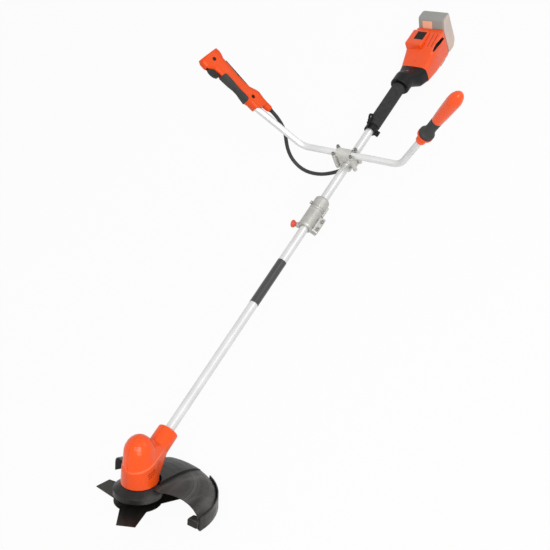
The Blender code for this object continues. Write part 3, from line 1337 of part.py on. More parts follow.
def build_housing():
    """Black adapter on the tube's end and the two orange housing shells with their inner pieces."""
    adapter = loft(
        "shaft_adapter", shell_sections(ADAPTER_SECTIONS, ADAPTER_START), TOOL, "black_plastic", "X", 28
    )
    boolean(
        adapter,
        rod("adapter_bore", TUBE_R + GAP, ADAPTER_START - CUT_MARGIN, UPPER_TUBE_END + GAP, TOOL, axis="X"),
    )
    moulding = loft(
        "housing_moulding", shell_sections(HOUSING_SECTIONS, HOUSING_START), TOOL, None, "X", 32
    )
    shift = Vector((HOUSING_START, 0, 0))
    block = box(
        "deck_block", shift + Vector(DECK_BLOCK_LOW), shift + Vector(DECK_BLOCK_HIGH), TOOL, rounding=0.005
    )
    boolean(moulding, block, "UNION")
    carrier_low = (HOUSING_END - 0.010, -CARRIER_HALF_WIDTH, CARRIER_LOW)
    carrier_high = (CARRIER_END, CARRIER_HALF_WIDTH, CARRIER_HIGH)
    boolean(moulding, box("rail_carrier", carrier_low, carrier_high, TOOL, rounding=0.003), "UNION")
    boolean(moulding, rail("battery_rail", 0, RAIL_LOW, RAIL_HIGH), "UNION")
    deck = DECK_BLOCK_HIGH[2]
    x, y = HOUSING_START + BUTTON_PLACE[0], BUTTON_PLACE[1]
    half_x, half_y = BUTTON_SIZE[0] / 2 + GAP, BUTTON_SIZE[1] / 2 + GAP
    floor = deck - BUTTON_SIZE[2] - BUTTON_TRAVEL - 5 * GAP
    recess_high = (x + half_x, y + half_y, deck + CUT_MARGIN)
    boolean(moulding, box("button_recess", (x - half_x, y - half_y, floor), recess_high, TOOL))
    for side in (-1, 1):
        middle = shift + Vector((SLOT_PLACE[0], side * SLOT_PLACE[1], SLOT_PLACE[2]))
        boolean(moulding, centred_box(f"side_slot_{side}", SLOT_SIZE, middle, TOOL))
    for index, place in enumerate(GROOVE_PLACES):
        deck_frame = new_frame(f"groove_frame_{index}", TOOL, shift + Vector(place))
        deck_frame.rotation_euler.y = -GROOVE_SLOPE
        boolean(moulding, centred_box(f"deck_groove_{index}", GROOVE_SIZE, (0, 0, 0), deck_frame))
    pocket = Vector(CONTROLLER_SIZE) + Vector((1, 1, 1)) * 2 * GAP
    spot = (HOUSING_START + CONTROLLER_PLACE[0], 0, CONTROLLER_PLACE[1])
    boolean(moulding, centred_box("controller_pocket", pocket, spot, TOOL))
    split_halves("housing_left", "housing_right", moulding, TOOL, "orange", 2.5)
    centred_box("controller", CONTROLLER_SIZE, spot, TOOL, "board_green")
    button = (x, y, deck - BUTTON_SIZE[2] / 2 - 0.0008)
    centred_box("power_button", BUTTON_SIZE, button, TOOL, "black_plastic", 0.0012)
    foot_low = (HOUSING_END - FOOT_INSET - FOOT_LENGTH, -FOOT_HALF_WIDTH, FOOT_HEIGHT)
    foot_top = HOUSING_SECTIONS[-1][1] - HOUSING_SECTIONS[-1][3] - GAP
    box(
        "rear_foot",
        foot_low,
        (HOUSING_END - FOOT_INSET, FOOT_HALF_WIDTH, foot_top),
        TOOL,
        "grey_plastic",
        0.0015,
    )
    terminal = (CARRIER_END + GAP + TERMINAL_SIZE[0] / 2, 0, RAIL_LOW - GAP - TERMINAL_SIZE[2] / 2)
    centred_box("terminal_block", TERMINAL_SIZE, terminal, TOOL, "black_plastic")


def rail(name, growth, low, high):
    """T-shaped rail on which the battery slides; growth makes the channel for it."""
    start = CARRIER_END - CUT_MARGIN
    step = CARRIER_END + RAIL_DEPTH - growth
    end = CARRIER_END + 2 * RAIL_DEPTH + growth
    wide = RAIL_HALF_WIDTH + growth
    neck = RAIL_NECK_HALF_WIDTH + growth
    piece = box(name, (step, -wide, low), (end, wide, high), TOOL)
    waist = box(f"{name}_neck", (start, -neck, low), (end - RAIL_DEPTH / 2, neck, high), TOOL)
    boolean(piece, waist, "UNION")
    return piece


def build_battery():
    """Battery pack with the channel for the rail and the release latch on its front face."""
    front = CARRIER_END + GAP
    back = CARRIER_END + BATTERY_LENGTH
    outline = [
        (front, BATTERY_LOW),
        (front, BATTERY_SHOULDER),
        (front + BATTERY_SETBACK, BATTERY_TOP),
        (back, BATTERY_TOP - 0.002),
        (back, BATTERY_LOW + 0.017),
        (back - 0.016, BATTERY_LOW),
    ]
    pack = plate("battery_pack", [outline], BATTERY_HALF_WIDTH * 2, TOOL, "grey_plastic")
    pack.rotation_euler = (math.pi / 2, 0, 0)
    bevel(pack, BATTERY_ROUND)
    below = BATTERY_LOW - 2 * BATTERY_LENGTH
    boolean(pack, rail("battery_channel", GAP, below, RAIL_HIGH + GAP))
    rise = BATTERY_TOP - BATTERY_SHOULDER
    slope = math.atan2(rise, BATTERY_SETBACK)
    share = (LATCH_HEIGHT - BATTERY_SHOULDER) / rise
    middle = (front + BATTERY_SETBACK * share, LATCH_SIDE, LATCH_HEIGHT)
    seat = new_frame("latch_frame", TOOL, middle)
    seat.rotation_euler.y = -slope
    size = Vector(LATCH_SIZE)
    bay = size + Vector((2 * GAP, 2 * GAP, 0.006))
    boolean(pack, centred_box("latch_bay", bay, (0, 0, LATCH_PROUD - size.z / 2), seat))
    centred_box("battery_latch", size, (0, 0, LATCH_PROUD - size.z / 2), seat, "peach_plastic", 0.001)


# Resting pose


def rest_on_floor():
    """Pitch the tool until front and rear both touch the floor, and centre its box on the origin."""
    bpy.context.view_layer.update()
    graph = bpy.context.evaluated_depsgraph_get()
    points = []
    for obj in PARTS.objects:
        if obj.type != "EMPTY":
            solid = obj.evaluated_get(graph)
            mesh = solid.to_mesh()
            points += [solid.matrix_world @ vertex.co for vertex in mesh.vertices]
            solid.to_mesh_clear()
    front = [point for point in points if point.x < TUBE_JOINT]
    rear = [point for point in points if point.x >= TUBE_JOINT]
    low, high = 0.0, math.radians(20)
    for _ in range(40):
        pitch = (low + high) / 2
        drop = [min(p.z * math.cos(pitch) - p.x * math.sin(pitch) for p in side) for side in (front, rear)]
        if drop[0] < drop[1]:
            low = pitch
        else:
            high = pitch
    turn = Matrix.Rotation(pitch, 3, "Y")
    turned = [turn @ point for point in points]
    lows = [min(point[axis] for point in turned) for axis in range(3)]
    highs = [max(point[axis] for point in turned) for axis in range(3)]
    TOOL.rotation_euler.y = pitch
    TOOL.location = (-(lows[0] + highs[0]) / 2, -(lows[1] + highs[1]) / 2, -lows[2])
    bpy.context.view_layer.update()


clear_scene()
PARTS = new_collection("brush_cutter")
CUTTERS = new_collection("cutters")
HOUSING_START = ADAPTER_START + ADAPTER_SECTIONS[-1][0] + GAP
HOUSING_END = HOUSING_START + HOUSING_SECTIONS[-1][0]
CARRIER_END = HOUSING_END + CARRIER_LENGTH
TOOL = new_frame("tool")
HEAD = new_frame("head", TOOL)
HEAD.rotation_euler.y = HEAD_TILT
GRIP_AXES = arm_axes((ARM_RIGHT + Vector((GRIP_LEAN, 0, 0))).normalized())
GRIP_FOOT = arm_point(1, GRIP_FOOT_ON_ARM) + Vector((GRIP_FOOT_SHIFT, 0, 0))
GRIP = new_frame("trigger_grip_frame", TOOL, GRIP_FOOT, GRIP_AXES)
TRIGGER_HINGE = new_frame("trigger_hinge", GRIP, (TRIGGER_PIVOT[0], 0, TRIGGER_PIVOT[1]))
LEVER_HINGE = new_frame("lock_lever_hinge", GRIP, (LEVER_HINGE_PLACE[0], 0, LEVER_HINGE_PLACE[1]))
LEVER_HINGE.rotation_euler.y = LEVER_SLOPE

build_pod()
build_motor()
build_blade()
build_guard()
build_shaft()
build_coupling()
build_handlebar()
build_bracket()
build_trigger_grip()
build_conduit()
build_plain_grip()
build_hanger()
build_housing()
build_battery()
rest_on_floor()
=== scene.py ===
"""Looks of the brush cutter: materials, soft and flexible pieces and the studio, laid out as an add-on."""

import json
import math

import bmesh
import bpy
from mathutils import Matrix, Vector


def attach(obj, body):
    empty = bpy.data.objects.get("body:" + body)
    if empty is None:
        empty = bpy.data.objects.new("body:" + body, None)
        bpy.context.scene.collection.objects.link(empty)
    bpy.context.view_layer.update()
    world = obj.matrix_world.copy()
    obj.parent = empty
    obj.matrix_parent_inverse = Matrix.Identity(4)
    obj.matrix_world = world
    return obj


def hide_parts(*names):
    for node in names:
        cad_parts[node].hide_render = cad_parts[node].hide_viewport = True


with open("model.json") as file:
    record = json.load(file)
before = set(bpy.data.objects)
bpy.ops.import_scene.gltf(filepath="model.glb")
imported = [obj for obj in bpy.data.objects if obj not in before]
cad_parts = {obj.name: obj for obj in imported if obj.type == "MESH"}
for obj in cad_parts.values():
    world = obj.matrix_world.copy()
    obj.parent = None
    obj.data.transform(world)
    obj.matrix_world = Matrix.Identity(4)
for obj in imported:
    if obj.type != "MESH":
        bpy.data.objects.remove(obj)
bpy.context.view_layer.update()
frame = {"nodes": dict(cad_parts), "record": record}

bl_info = {
    "name": "Brush Cutter Looks",
    "version": (1, 0, 0),
    "blender": (4, 5, 0),
    "location": "3D View > Sidebar > Cutter",
    "description": "Materials, soft pieces and studio for a packed brush cutter",
    "category": "Object",
}

# The tool's own frame: origin where the spindle meets the shaft, X to the rear, Z up from the shaft.
# The head's frame shares the origin and is tilted until its Z is the spindle.
JOINTS = {joint["name"]: joint for joint in frame["record"]["behaviour"]["joints"]}
TOOL_ORIGIN = Vector(JOINTS["blade_spin"]["pos_m"])
TOOL_UP = Vector(JOINTS["battery_slide"]["axis"])
SPINDLE = Vector(JOINTS["blade_spin"]["axis"])
TOOL_PITCH = math.atan2(TOOL_UP.x, TOOL_UP.z)
HEAD_PITCH = math.atan2(SPINDLE.x, SPINDLE.z)
TOOL = Matrix.Translation(TOOL_ORIGIN) @ Matrix.Rotation(TOOL_PITCH, 4, "Y")

# The photograph's camera, in the tool's frame
CAMERA_PLACE = (-0.5174, -1.5456, 2.0214)
CAMERA_AIM = (0.4243, 0.5487, -0.7203)
CAMERA_UP = (0.7521, 0.2294, 0.6178)
CAMERA_LENS = 65.45
CAMERA_SENSOR = 36.0

# Route of the control conduit, in the tool's frame: straight ends, a smooth curve through the rest
CONDUIT_ROUTE = (
    (1.1374, 0.2404, 0.1489),
    (1.1374, 0.2319, 0.1378),
    (1.1420, 0.2330, 0.1180),
    (1.1440, 0.2270, 0.0850),
    (1.1430, 0.2290, 0.0500),
    (1.1370, 0.2370, 0.0080),
    (1.1280, 0.2330, -0.0420),
    (1.1150, 0.1910, -0.0730),
    (1.1040, 0.1230, -0.0650),
    (1.1020, 0.0640, -0.0430),
    (1.1180, 0.0210, -0.0305),
    (1.1480, 0.0125, -0.0250),
    (1.1880, 0.0105, -0.0175),
    (1.2274, 0.0105, -0.0170),
    (1.2554, 0.0105, -0.0170),
)
CONDUIT_R = 0.0058

# Steps of the curve between two points of the route, even points laid along it, rounds of easing,
# and how finely the conduit is rounded
CONDUIT_STEPS = 6
CONDUIT_POINTS = 40
CONDUIT_EASE = 3
CONDUIT_ROUNDING = 4

# Rings at each end of the hand sleeve, as distance from the end and depth under the surface, then the
# plain lip, the run from the lip to the full flutes, and the steps round each flute
SLEEVE_END = ((0.0, 0.003), (0.0012, 0.0008), (0.003, 0.0))
SLEEVE_LIP = 0.006
SLEEVE_RUN = 0.004
FLUTE_STEPS = 8

# The crease round the pod's foot, in the head's frame: its front end, its rise to the rear, the width of
# the painted highlight along it, and the height over which the painted shade on the skirt below it begins
CREASE_FRONT = (-0.043, 0.0, 0.0235)
CREASE_RISE = math.radians(18)
CREASE_HIGHLIGHT_BAND = 0.0026
CREASE_BLEND = 0.0006
SKIRT_SHADE = 0.72
SKIRT_SHARE = 0.4

# Where the painted highlight along the crease fades, in the head's frame: across to the far side, and back
# to the neck
HIGHLIGHT_ACROSS = (-0.040, 0.010)
HIGHLIGHT_SHARE = (0.75, 0.22)
HIGHLIGHT_BACK = (0.045, 0.075)

# The guard in the head's frame: centre of its dome on X, edge of its near side with dust and painted sheen
# on Y, and the radii between which arc streaks of painted sheen come and go
GUARD_CENTRE = 0.016
DUST_AND_SHEEN_SIDE = (-0.045, -0.062)
SHEEN_STREAKS_BEGIN = (0.118, 0.132)
SHEEN_STREAKS_END = (0.150, 0.136)

# Slot in each side of the rear housing, in the tool's frame
SIDE_SLOT_X = (1.6128, 1.6838)
SIDE_SLOT_Z = (0.0171, 0.0259)
SIDE_SLOT_Y = 0.0453

# Paler colours of edges, for worn edges and painted highlight; the pod's is also its painted highlight
# along the crease
POD_PALE = (0.98, 0.26, 0.11)
GRIP_PALE = (0.95, 0.15, 0.045)
HOUSING_PALE = (0.98, 0.28, 0.13)
KNOB_PALE = (0.9, 0.25, 0.15)
GUARD_PALE = (0.17, 0.165, 0.16)
CONTROL_PALE = (0.14, 0.14, 0.14)
SWITCH_PALE = (0.1, 0.1, 0.1)
ADAPTER_PALE = (0.09, 0.09, 0.09)
BATTERY_PALE = (0.46, 0.50, 0.48)
CATCH_PALE = (0.95, 0.62, 0.46)
CAST_PALE = (0.74, 0.735, 0.71)

# Colours of dirt and of the guard's painted sheen, of small pieces and of hidden ones
GUARD_DUST_AND_SHEEN = (0.115, 0.108, 0.10)
GUARD_SHEEN_STREAK = (0.16, 0.155, 0.15)
BLADE_RUST = (0.075, 0.042, 0.027)
FLANGE_OXIDE = (0.028, 0.025, 0.023)
SCREW_OXIDE = (0.026, 0.024, 0.023)
SCREW_ZINC = (0.27, 0.265, 0.255)
STEEL = (0.50, 0.49, 0.48)
COPPER = (0.55, 0.26, 0.15)
KNOB_ORANGE = (0.74, 0.085, 0.040)
BAND_FILM = (0.030, 0.030, 0.031)
BOARD_GREEN = (0.03, 0.16, 0.07)
FLANK_DARK = (0.60, 0.50, 0.46)
FLANK_LIGHT = (0.72, 0.56, 0.47)

# How far drawn lines are squeezed across the shaft and across the handlebar
ALONG_SHAFT = (1, 160, 160)
ALONG_BAR = (160, 1, 160)

# Range that most of a noise lies in
NOISE_RANGE = (0.3, 0.7)

# Openness of a groove from fully shaded to plain, and the share of colour left in it
GROOVE_OPENNESS = (0.20, 0.75)
GROOVE_SHADE = 0.10

# Turn of the rounded normal from plain face to edge, and the noise that breaks up the pale edges, worn and
# painted highlight
EDGE_TURN = (0.995, 0.80)
EDGE_PATCHES = (0.42, 0.62)

# Sockets of the Mix node when it blends colours
MIX_FACTOR = 0
MIX_FIRST = 6
MIX_SECOND = 7
MIX_RESULT = 2

# The studio's lamps, and the share of the floor's white that doesn't depend on light
KEY_PLACE = (-1.6, -2.2, 3.2)
KEY_SIZE = 2.6
FILL_PLACE = (2.4, -2.6, 2.2)
FILL_SIZE = 2.0
FLOOR_GREY = (0.70, 0.70, 0.70, 1)
FLOOR_GLOW = 0.94


# Settings that a user would change


class CutterColours(bpy.types.PropertyGroup):
    """Base colours of the materials."""

    orange: bpy.props.FloatVectorProperty(
        name="Orange", description="Moulded shells", subtype="COLOR", default=(0.90, 0.082, 0.004)
    )
    guard: bpy.props.FloatVectorProperty(
        name="Guard",
        description="Guard and its extension",
        subtype="COLOR",
        default=(0.0095, 0.0088, 0.0083),
    )
    black: bpy.props.FloatVectorProperty(
        name="Black", description="Black mouldings", subtype="COLOR", default=(0.005, 0.005, 0.0052)
    )
    rubber: bpy.props.FloatVectorProperty(
        name="Rubber", description="Grips, pad and conduit", subtype="COLOR", default=(0.030, 0.030, 0.029)
    )
    foam: bpy.props.FloatVectorProperty(
        name="Foam", description="Hand sleeve", subtype="COLOR", default=(0.017, 0.0165, 0.016)
    )
    tube: bpy.props.FloatVectorProperty(
        name="Tube", description="Shaft tubes and handlebar", subtype="COLOR", default=(0.69, 0.695, 0.69)
    )
    casting: bpy.props.FloatVectorProperty(
        name="Casting", description="Coupling and bracket", subtype="COLOR", default=(0.46, 0.453, 0.428)
    )
    blade: bpy.props.FloatVectorProperty(
        name="Blade", description="Three-tooth blade", subtype="COLOR", default=(0.026, 0.0235, 0.021)
    )
    battery: bpy.props.FloatVectorProperty(
        name="Battery", description="Battery shell and foot", subtype="COLOR", default=(0.32, 0.318, 0.298)
    )
    catch: bpy.props.FloatVectorProperty(
        name="Catch", description="Battery catch", subtype="COLOR", default=(0.91, 0.485, 0.320)
    )


class CutterDetail(bpy.types.PropertyGroup):
    """Fine relief, edges paled as worn and as painted highlight, and painted shade in grooves."""

    grain: bpy.props.FloatProperty(
        name="Grain", description="Depth of moulded grain", default=0.00004, unit="LENGTH", precision=6
    )
    edge: bpy.props.FloatProperty(
        name="Edge", description="Radius of softened edges", default=0.0009, unit="LENGTH", precision=5
    )
    flow: bpy.props.FloatProperty(
        name="Flow",
        description="Reach of the broad rounding of shells",
        default=0.0026,
        unit="LENGTH",
        precision=4,
    )
    wear_and_highlight: bpy.props.FloatProperty(
        name="Wear",
        description="How far edges are rubbed pale",
        default=0.38,
        subtype="FACTOR",
        min=0,
        max=1,
    )
    crevice: bpy.props.FloatProperty(
        name="Crevice",
        description="Reach of the shade in grooves",
        default=0.004,
        unit="LENGTH",
        precision=4,
    )
    flutes: bpy.props.IntProperty(
        name="Flutes", description="Flutes round the hand sleeve", default=22, min=6
    )
    flute_depth: bpy.props.FloatProperty(
        name="Flute depth", description="Depth of the sleeve's flutes", default=0.0007, unit="LENGTH"
    )


class CutterStage(bpy.types.PropertyGroup):
    """Studio light and floor."""

    sky: bpy.props.FloatProperty(name="Sky", description="Strength of the white surround", default=0.50)
    key: bpy.props.FloatProperty(name="Key", description="Key light", default=114.0, unit="POWER")
    fill: bpy.props.FloatProperty(name="Fill", description="Fill light", default=20.5, unit="POWER")
    floor: bpy.props.FloatProperty(name="Floor", description="Floor size", default=40.0, unit="LENGTH")


# Material helpers


def colours():
    """The colour settings."""
    return bpy.context.scene.cutter_colours


def detail():
    """The detail settings."""
    return bpy.context.scene.cutter_detail


def shaded(colour, factor):
    """A colour made darker or lighter."""
    return [value * factor for value in colour]


class Paint:
    """A material on its Principled shader, with textures in the object's own metres."""

    def __init__(self, name, colour, roughness, metallic=0.0, **sockets):
        self.material = bpy.data.materials.new(name)
        self.material.use_nodes = True
        self.material.diffuse_color = (*colour, 1.0)
        self.tree = self.material.node_tree
        self.shader = self.tree.nodes["Principled BSDF"]
        self.colour = (*colour, 1.0)
        self.shader.inputs["Base Color"].default_value = self.colour
        self.shader.inputs["Roughness"].default_value = roughness
        self.shader.inputs["Metallic"].default_value = metallic
        for key, value in sockets.items():
            self.shader.inputs[key.replace("_", " ").title()].default_value = value
        self.metres = self.node("ShaderNodeTexCoord").outputs["Object"]
        self.relief = None

    def node(self, kind, inputs=None, **settings):
        """Add a node; inputs are values or sockets by name or number."""
        node = self.tree.nodes.new(kind)
        for key, value in settings.items():
            setattr(node, key, value)
        for key, value in (inputs or {}).items():
            if isinstance(value, bpy.types.NodeSocket):
                self.tree.links.new(value, node.inputs[key])
            else:
                node.inputs[key].default_value = value
        return node

    def math(self, operation, *values):
        """One Math node on values or sockets."""
        return self.node("ShaderNodeMath", dict(enumerate(values)), operation=operation).outputs[0]

    def vector_math(self, operation, *values, output="Vector"):
        """One Vector Math node on values or sockets."""
        node = self.node("ShaderNodeVectorMath", dict(enumerate(values)), operation=operation)
        return node.outputs[output]

    def split(self, vector):
        """The X, Y and Z of a vector."""
        return tuple(self.node("ShaderNodeSeparateXYZ", {"Vector": vector}).outputs)

    def local(self, pitch, stretch=None):
        """Coordinates turned to the tool's or the head's axes, then stretched."""
        turn = {"Vector": self.metres, "Location": TOOL_ORIGIN, "Rotation": (0, pitch, 0)}
        vector = self.node("ShaderNodeMapping", turn, vector_type="TEXTURE").outputs[0]
        if stretch:
            vector = self.node("ShaderNodeMapping", {"Vector": vector, "Scale": stretch}).outputs[0]
        return vector

    def noise(self, scale, detail=2.0, vector=None):
        """Noise from 0 to 1 about a half."""
        values = {"Vector": vector or self.metres, "Scale": scale, "Detail": detail}
        return self.node("ShaderNodeTexNoise", values).outputs[0]

    def rings(self, radius):
        """Coordinates that change only with a radius."""
        return self.node("ShaderNodeCombineXYZ", {"X": radius}).outputs[0]

    def height_over(self, vector, place, normal):
        """Height over a plane through a place."""
        offset = self.vector_math("SUBTRACT", vector, place)
        return self.vector_math("DOT_PRODUCT", offset, normal, output="Value")

    def cells(self, scale):
        """Distance to the nearest cell point."""
        values = {"Vector": self.metres, "Scale": scale}
        return self.node("ShaderNodeTexVoronoi", values).outputs["Distance"]

    def wave(self, scale, vector, direction):
        """Even bands across one axis."""
        settings = {"wave_type": "BANDS", "bands_direction": direction}
        return self.node("ShaderNodeTexWave", {"Vector": vector, "Scale": scale}, **settings).outputs["Fac"]

    def spread(self, value, source, target):
        """Map one range on another, held at its ends."""
        values = {"Value": value, "From Min": source[0], "From Max": source[1]}
        values.update({"To Min": target[0], "To Max": target[1]})
        return self.node("ShaderNodeMapRange", values, clamp=True).outputs[0]

    def within(self, value, low, high):
        """1 between two values, 0 outside."""
        return self.math("COMPARE", value, (low + high) / 2, (high - low) / 2)

    def mix(self, factor, first, second):
        """Blend two colours, each a value or a socket, by the factor's socket."""
        node = self.node("ShaderNodeMix", data_type="RGBA")
        self.tree.links.new(factor, node.inputs[MIX_FACTOR])
        for index, value in ((MIX_FIRST, first), (MIX_SECOND, second)):
            if isinstance(value, bpy.types.NodeSocket):
                self.tree.links.new(value, node.inputs[index])
            else:
                node.inputs[index].default_value = (*value[:3], 1.0)
        return node.outputs[MIX_RESULT]

    def paint(self, socket):
        """Set the base colour from a socket."""
        self.tree.links.new(socket, self.shader.inputs["Base Color"])

    def base(self):
        """The base colour so far, as a socket or a value."""
        links = self.shader.inputs["Base Color"].links
        return links[0].from_socket if links else self.colour

    def mottle(self, scale, amount):
        """Let the colour drift a little lighter and darker."""
        shade = self.spread(self.noise(scale, 3.0), NOISE_RANGE, (0.0, 1.0))
        darker = shaded(self.colour[:3], 1 - amount)
        lighter = [min(1.0, value) for value in shaded(self.colour[:3], 1 + amount)]
        self.paint(self.mix(shade, darker, lighter))

    def gloss(self, low, high, scale):
        """Let the roughness vary between two values."""
        value = self.spread(self.noise(scale, 4.0), NOISE_RANGE, (low, high))
        self.tree.links.new(value, self.shader.inputs["Roughness"])

    def bump(self, height, depth):
        """Add relief on top of the relief so far."""
        values = {"Height": height, "Distance": depth, "Strength": 1.0}
        if self.relief:
            values["Normal"] = self.relief
        self.relief = self.node("ShaderNodeBump", values).outputs[0]
        self.tree.links.new(self.relief, self.shader.inputs["Normal"])

    def paint_crevice_shade(self, reach, depth):
        """Painted shade: darken the colour in grooves, slots and gaps."""
        values = {"Distance": reach}
        openness = self.node("ShaderNodeAmbientOcclusion", values, samples=8).outputs["AO"]
        closed = self.spread(openness, GROOVE_OPENNESS, (depth, 0.0))
        self.paint(self.mix(closed, self.base(), shaded(self.colour[:3], GROOVE_SHADE)))

    def soften(self, radius, wear_and_highlight=0.0, pale=None, reach=None):
        """Round the edges in the shading, broadly where a reach is given, and pale them in patches, as worn
        edges and as painted highlight.
        """
        rounded = self.node("ShaderNodeBevel", {"Radius": radius}, samples=4).outputs[0]
        self.relief = rounded
        if reach:
            self.relief = self.node("ShaderNodeBevel", {"Radius": reach}, samples=8).outputs[0]
        self.tree.links.new(self.relief, self.shader.inputs["Normal"])
        if pale:
            flat = self.node("ShaderNodeNewGeometry").outputs["True Normal"]
            same = self.vector_math("DOT_PRODUCT", rounded, flat, output="Value")
            edge = self.spread(same, EDGE_TURN, (0.0, 1.0))
            patches = self.spread(self.noise(90.0, 4.0), EDGE_PATCHES, (0.0, wear_and_highlight))
            self.paint(self.mix(self.math("MULTIPLY", edge, patches), self.base(), pale))


def plastic(name, colour, roughness, pale, coat=0.0, grain=1800.0, shine=0.22, wear_and_highlight=1.0, reach=None):
    """Moulded plastic: drifting colour, fine grain, softened edges paled as worn and as painted highlight,
    and painted shade in grooves.
    """
    paint = Paint(name, colour, roughness, coat_weight=coat, coat_roughness=0.18)
    paint.shader.inputs["Specular IOR Level"].default_value = shine
    paint.mottle(scale=9.0, amount=0.05)
    paint.soften(detail().edge, detail().wear_and_highlight * wear_and_highlight, pale, reach)
    paint.paint_crevice_shade(detail().crevice, depth=0.85)
    paint.gloss(roughness - 0.06, roughness + 0.08, scale=35.0)
    paint.bump(paint.noise(grain), detail().grain)
    return paint


def rubbery(name, colour, hatch=0.0):
    """Matte rubber with a fine skin and, if asked, a diamond hatch."""
    paint = Paint(name, colour, 0.72)
    paint.mottle(scale=25.0, amount=0.12)
    paint.soften(detail().edge)
    paint.gloss(0.62, 0.82, scale=60.0)
    paint.bump(paint.noise(2600.0), detail().grain * 1.5)
    if hatch:
        turned = {"Vector": paint.local(TOOL_PITCH), "Rotation": (0, 0, math.radians(45))}
        vector = paint.node("ShaderNodeMapping", turned).outputs[0]
        rows = paint.math("MULTIPLY", paint.wave(hatch, vector, "X"), paint.wave(hatch, vector, "Y"))
        paint.bump(rows, detail().grain * 6)
    return paint


def metal(name, colour, roughness, lines, metallic=0.95, pitch=TOOL_PITCH, stretch=ALONG_SHAFT, reach=None):
    """Drawn or turned metal: fine lines along one axis and uneven polish."""
    paint = Paint(name, colour, roughness, metallic)
    paint.mottle(scale=14.0, amount=0.05)
    paint.soften(detail().edge, reach=reach)
    streaks = paint.noise(lines, 3.0, paint.local(pitch, stretch))
    value = paint.spread(streaks, NOISE_RANGE, (roughness - 0.07, roughness + 0.09))
    paint.tree.links.new(value, paint.shader.inputs["Roughness"])
    paint.bump(streaks, detail().grain * 0.5)
    return paint


def cast(name, colour, reach=None):
    """Tumbled die casting: pebbled skin, bright edges and painted shade in grooves."""
    paint = Paint(name, colour, 0.46, metallic=0.85)
    paint.mottle(scale=40.0, amount=0.10)
    paint.soften(detail().edge, 0.8, CAST_PALE, reach)
    paint.paint_crevice_shade(detail().crevice, depth=0.7)
    paint.gloss(0.38, 0.58, scale=120.0)
    paint.bump(paint.noise(900.0, 3.0), detail().grain * 2.5)
    return paint


# Helpers for pieces


def dress(paint, *names):
    """Give CAD nodes a material."""
    for name in names:
        frame["nodes"][name].material_slots[0].material = paint.material


def in_tool(name):
    """Vertices of a CAD node in the tool's frame."""
    back = TOOL.inverted()
    return [back @ vertex.co for vertex in frame["nodes"][name].data.vertices]


def new_object(name, data, paint, body):
    """Add a piece that rides on a body and takes the paint's material."""
    piece = bpy.data.objects.new(name, data)
    bpy.context.scene.collection.objects.link(piece)
    data.materials.append(paint.material)
    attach(piece, body)
    return piece


def smooth_route(points, steps):
    """A smooth curve through the inner points; the first and last stretches stay straight."""
    path = [points[0]]
    for a, b, c, d in zip(points, points[1:], points[2:], points[3:]):
        for step in range(steps):
            t = step / steps
            linear = (c - a) * t
            square = (a * 2 - b * 5 + c * 4 - d) * t**2
            cube = (b * 3 - a - c * 3 + d) * t**3
            path.append((b * 2 + linear + square + cube) / 2)
    return path + points[-2:]


def ease_route(path, count, rounds):
    """Even spacing along a route, then gentler bends; the start and the last stretch stay in place."""
    lengths = [0.0]
    for first, second in zip(path, path[1:]):
        lengths.append(lengths[-1] + (second - first).length)
    even = []
    for step in range(count):
        reach = lengths[-1] * step / (count - 1)
        index = max(k for k in range(len(path) - 1) if lengths[k] <= reach)
        share = (reach - lengths[index]) / (lengths[index + 1] - lengths[index])
        even.append(path[index].lerp(path[index + 1], share))
    for _ in range(rounds):
        inner = [(a + b * 2 + c) / 4 for a, b, c in zip(even, even[1:], even[2:-1])]
        even = even[:1] + inner + even[-2:]
    return even


# Operators, one for each group of pieces


class CUTTER_OT_conduit(bpy.types.Operator):
    """Lay the control conduit from the trigger grip to the hanger"""

    bl_idname = "cutter.conduit"
    bl_label = "Control Conduit"

    def execute(self, context):
        path = smooth_route([TOOL @ Vector(point) for point in CONDUIT_ROUTE], CONDUIT_STEPS)
        route = ease_route(path, CONDUIT_POINTS, CONDUIT_EASE)
        curve = bpy.data.curves.new("conduit_sleeve", "CURVE")
        curve.dimensions = "3D"
        curve.bevel_depth = CONDUIT_R
        curve.bevel_resolution = CONDUIT_ROUNDING
        curve.use_fill_caps = True
        spline = curve.splines.new("POLY")
        spline.points.add(len(route) - 1)
        for point, place in zip(spline.points, route):
            point.co = (*place, 1.0)
        paint = rubbery("conduit rubber", colours().rubber)
        piece = new_object("conduit_sleeve", curve, paint, "machine")
        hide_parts("control_conduit")
        return {"FINISHED"}


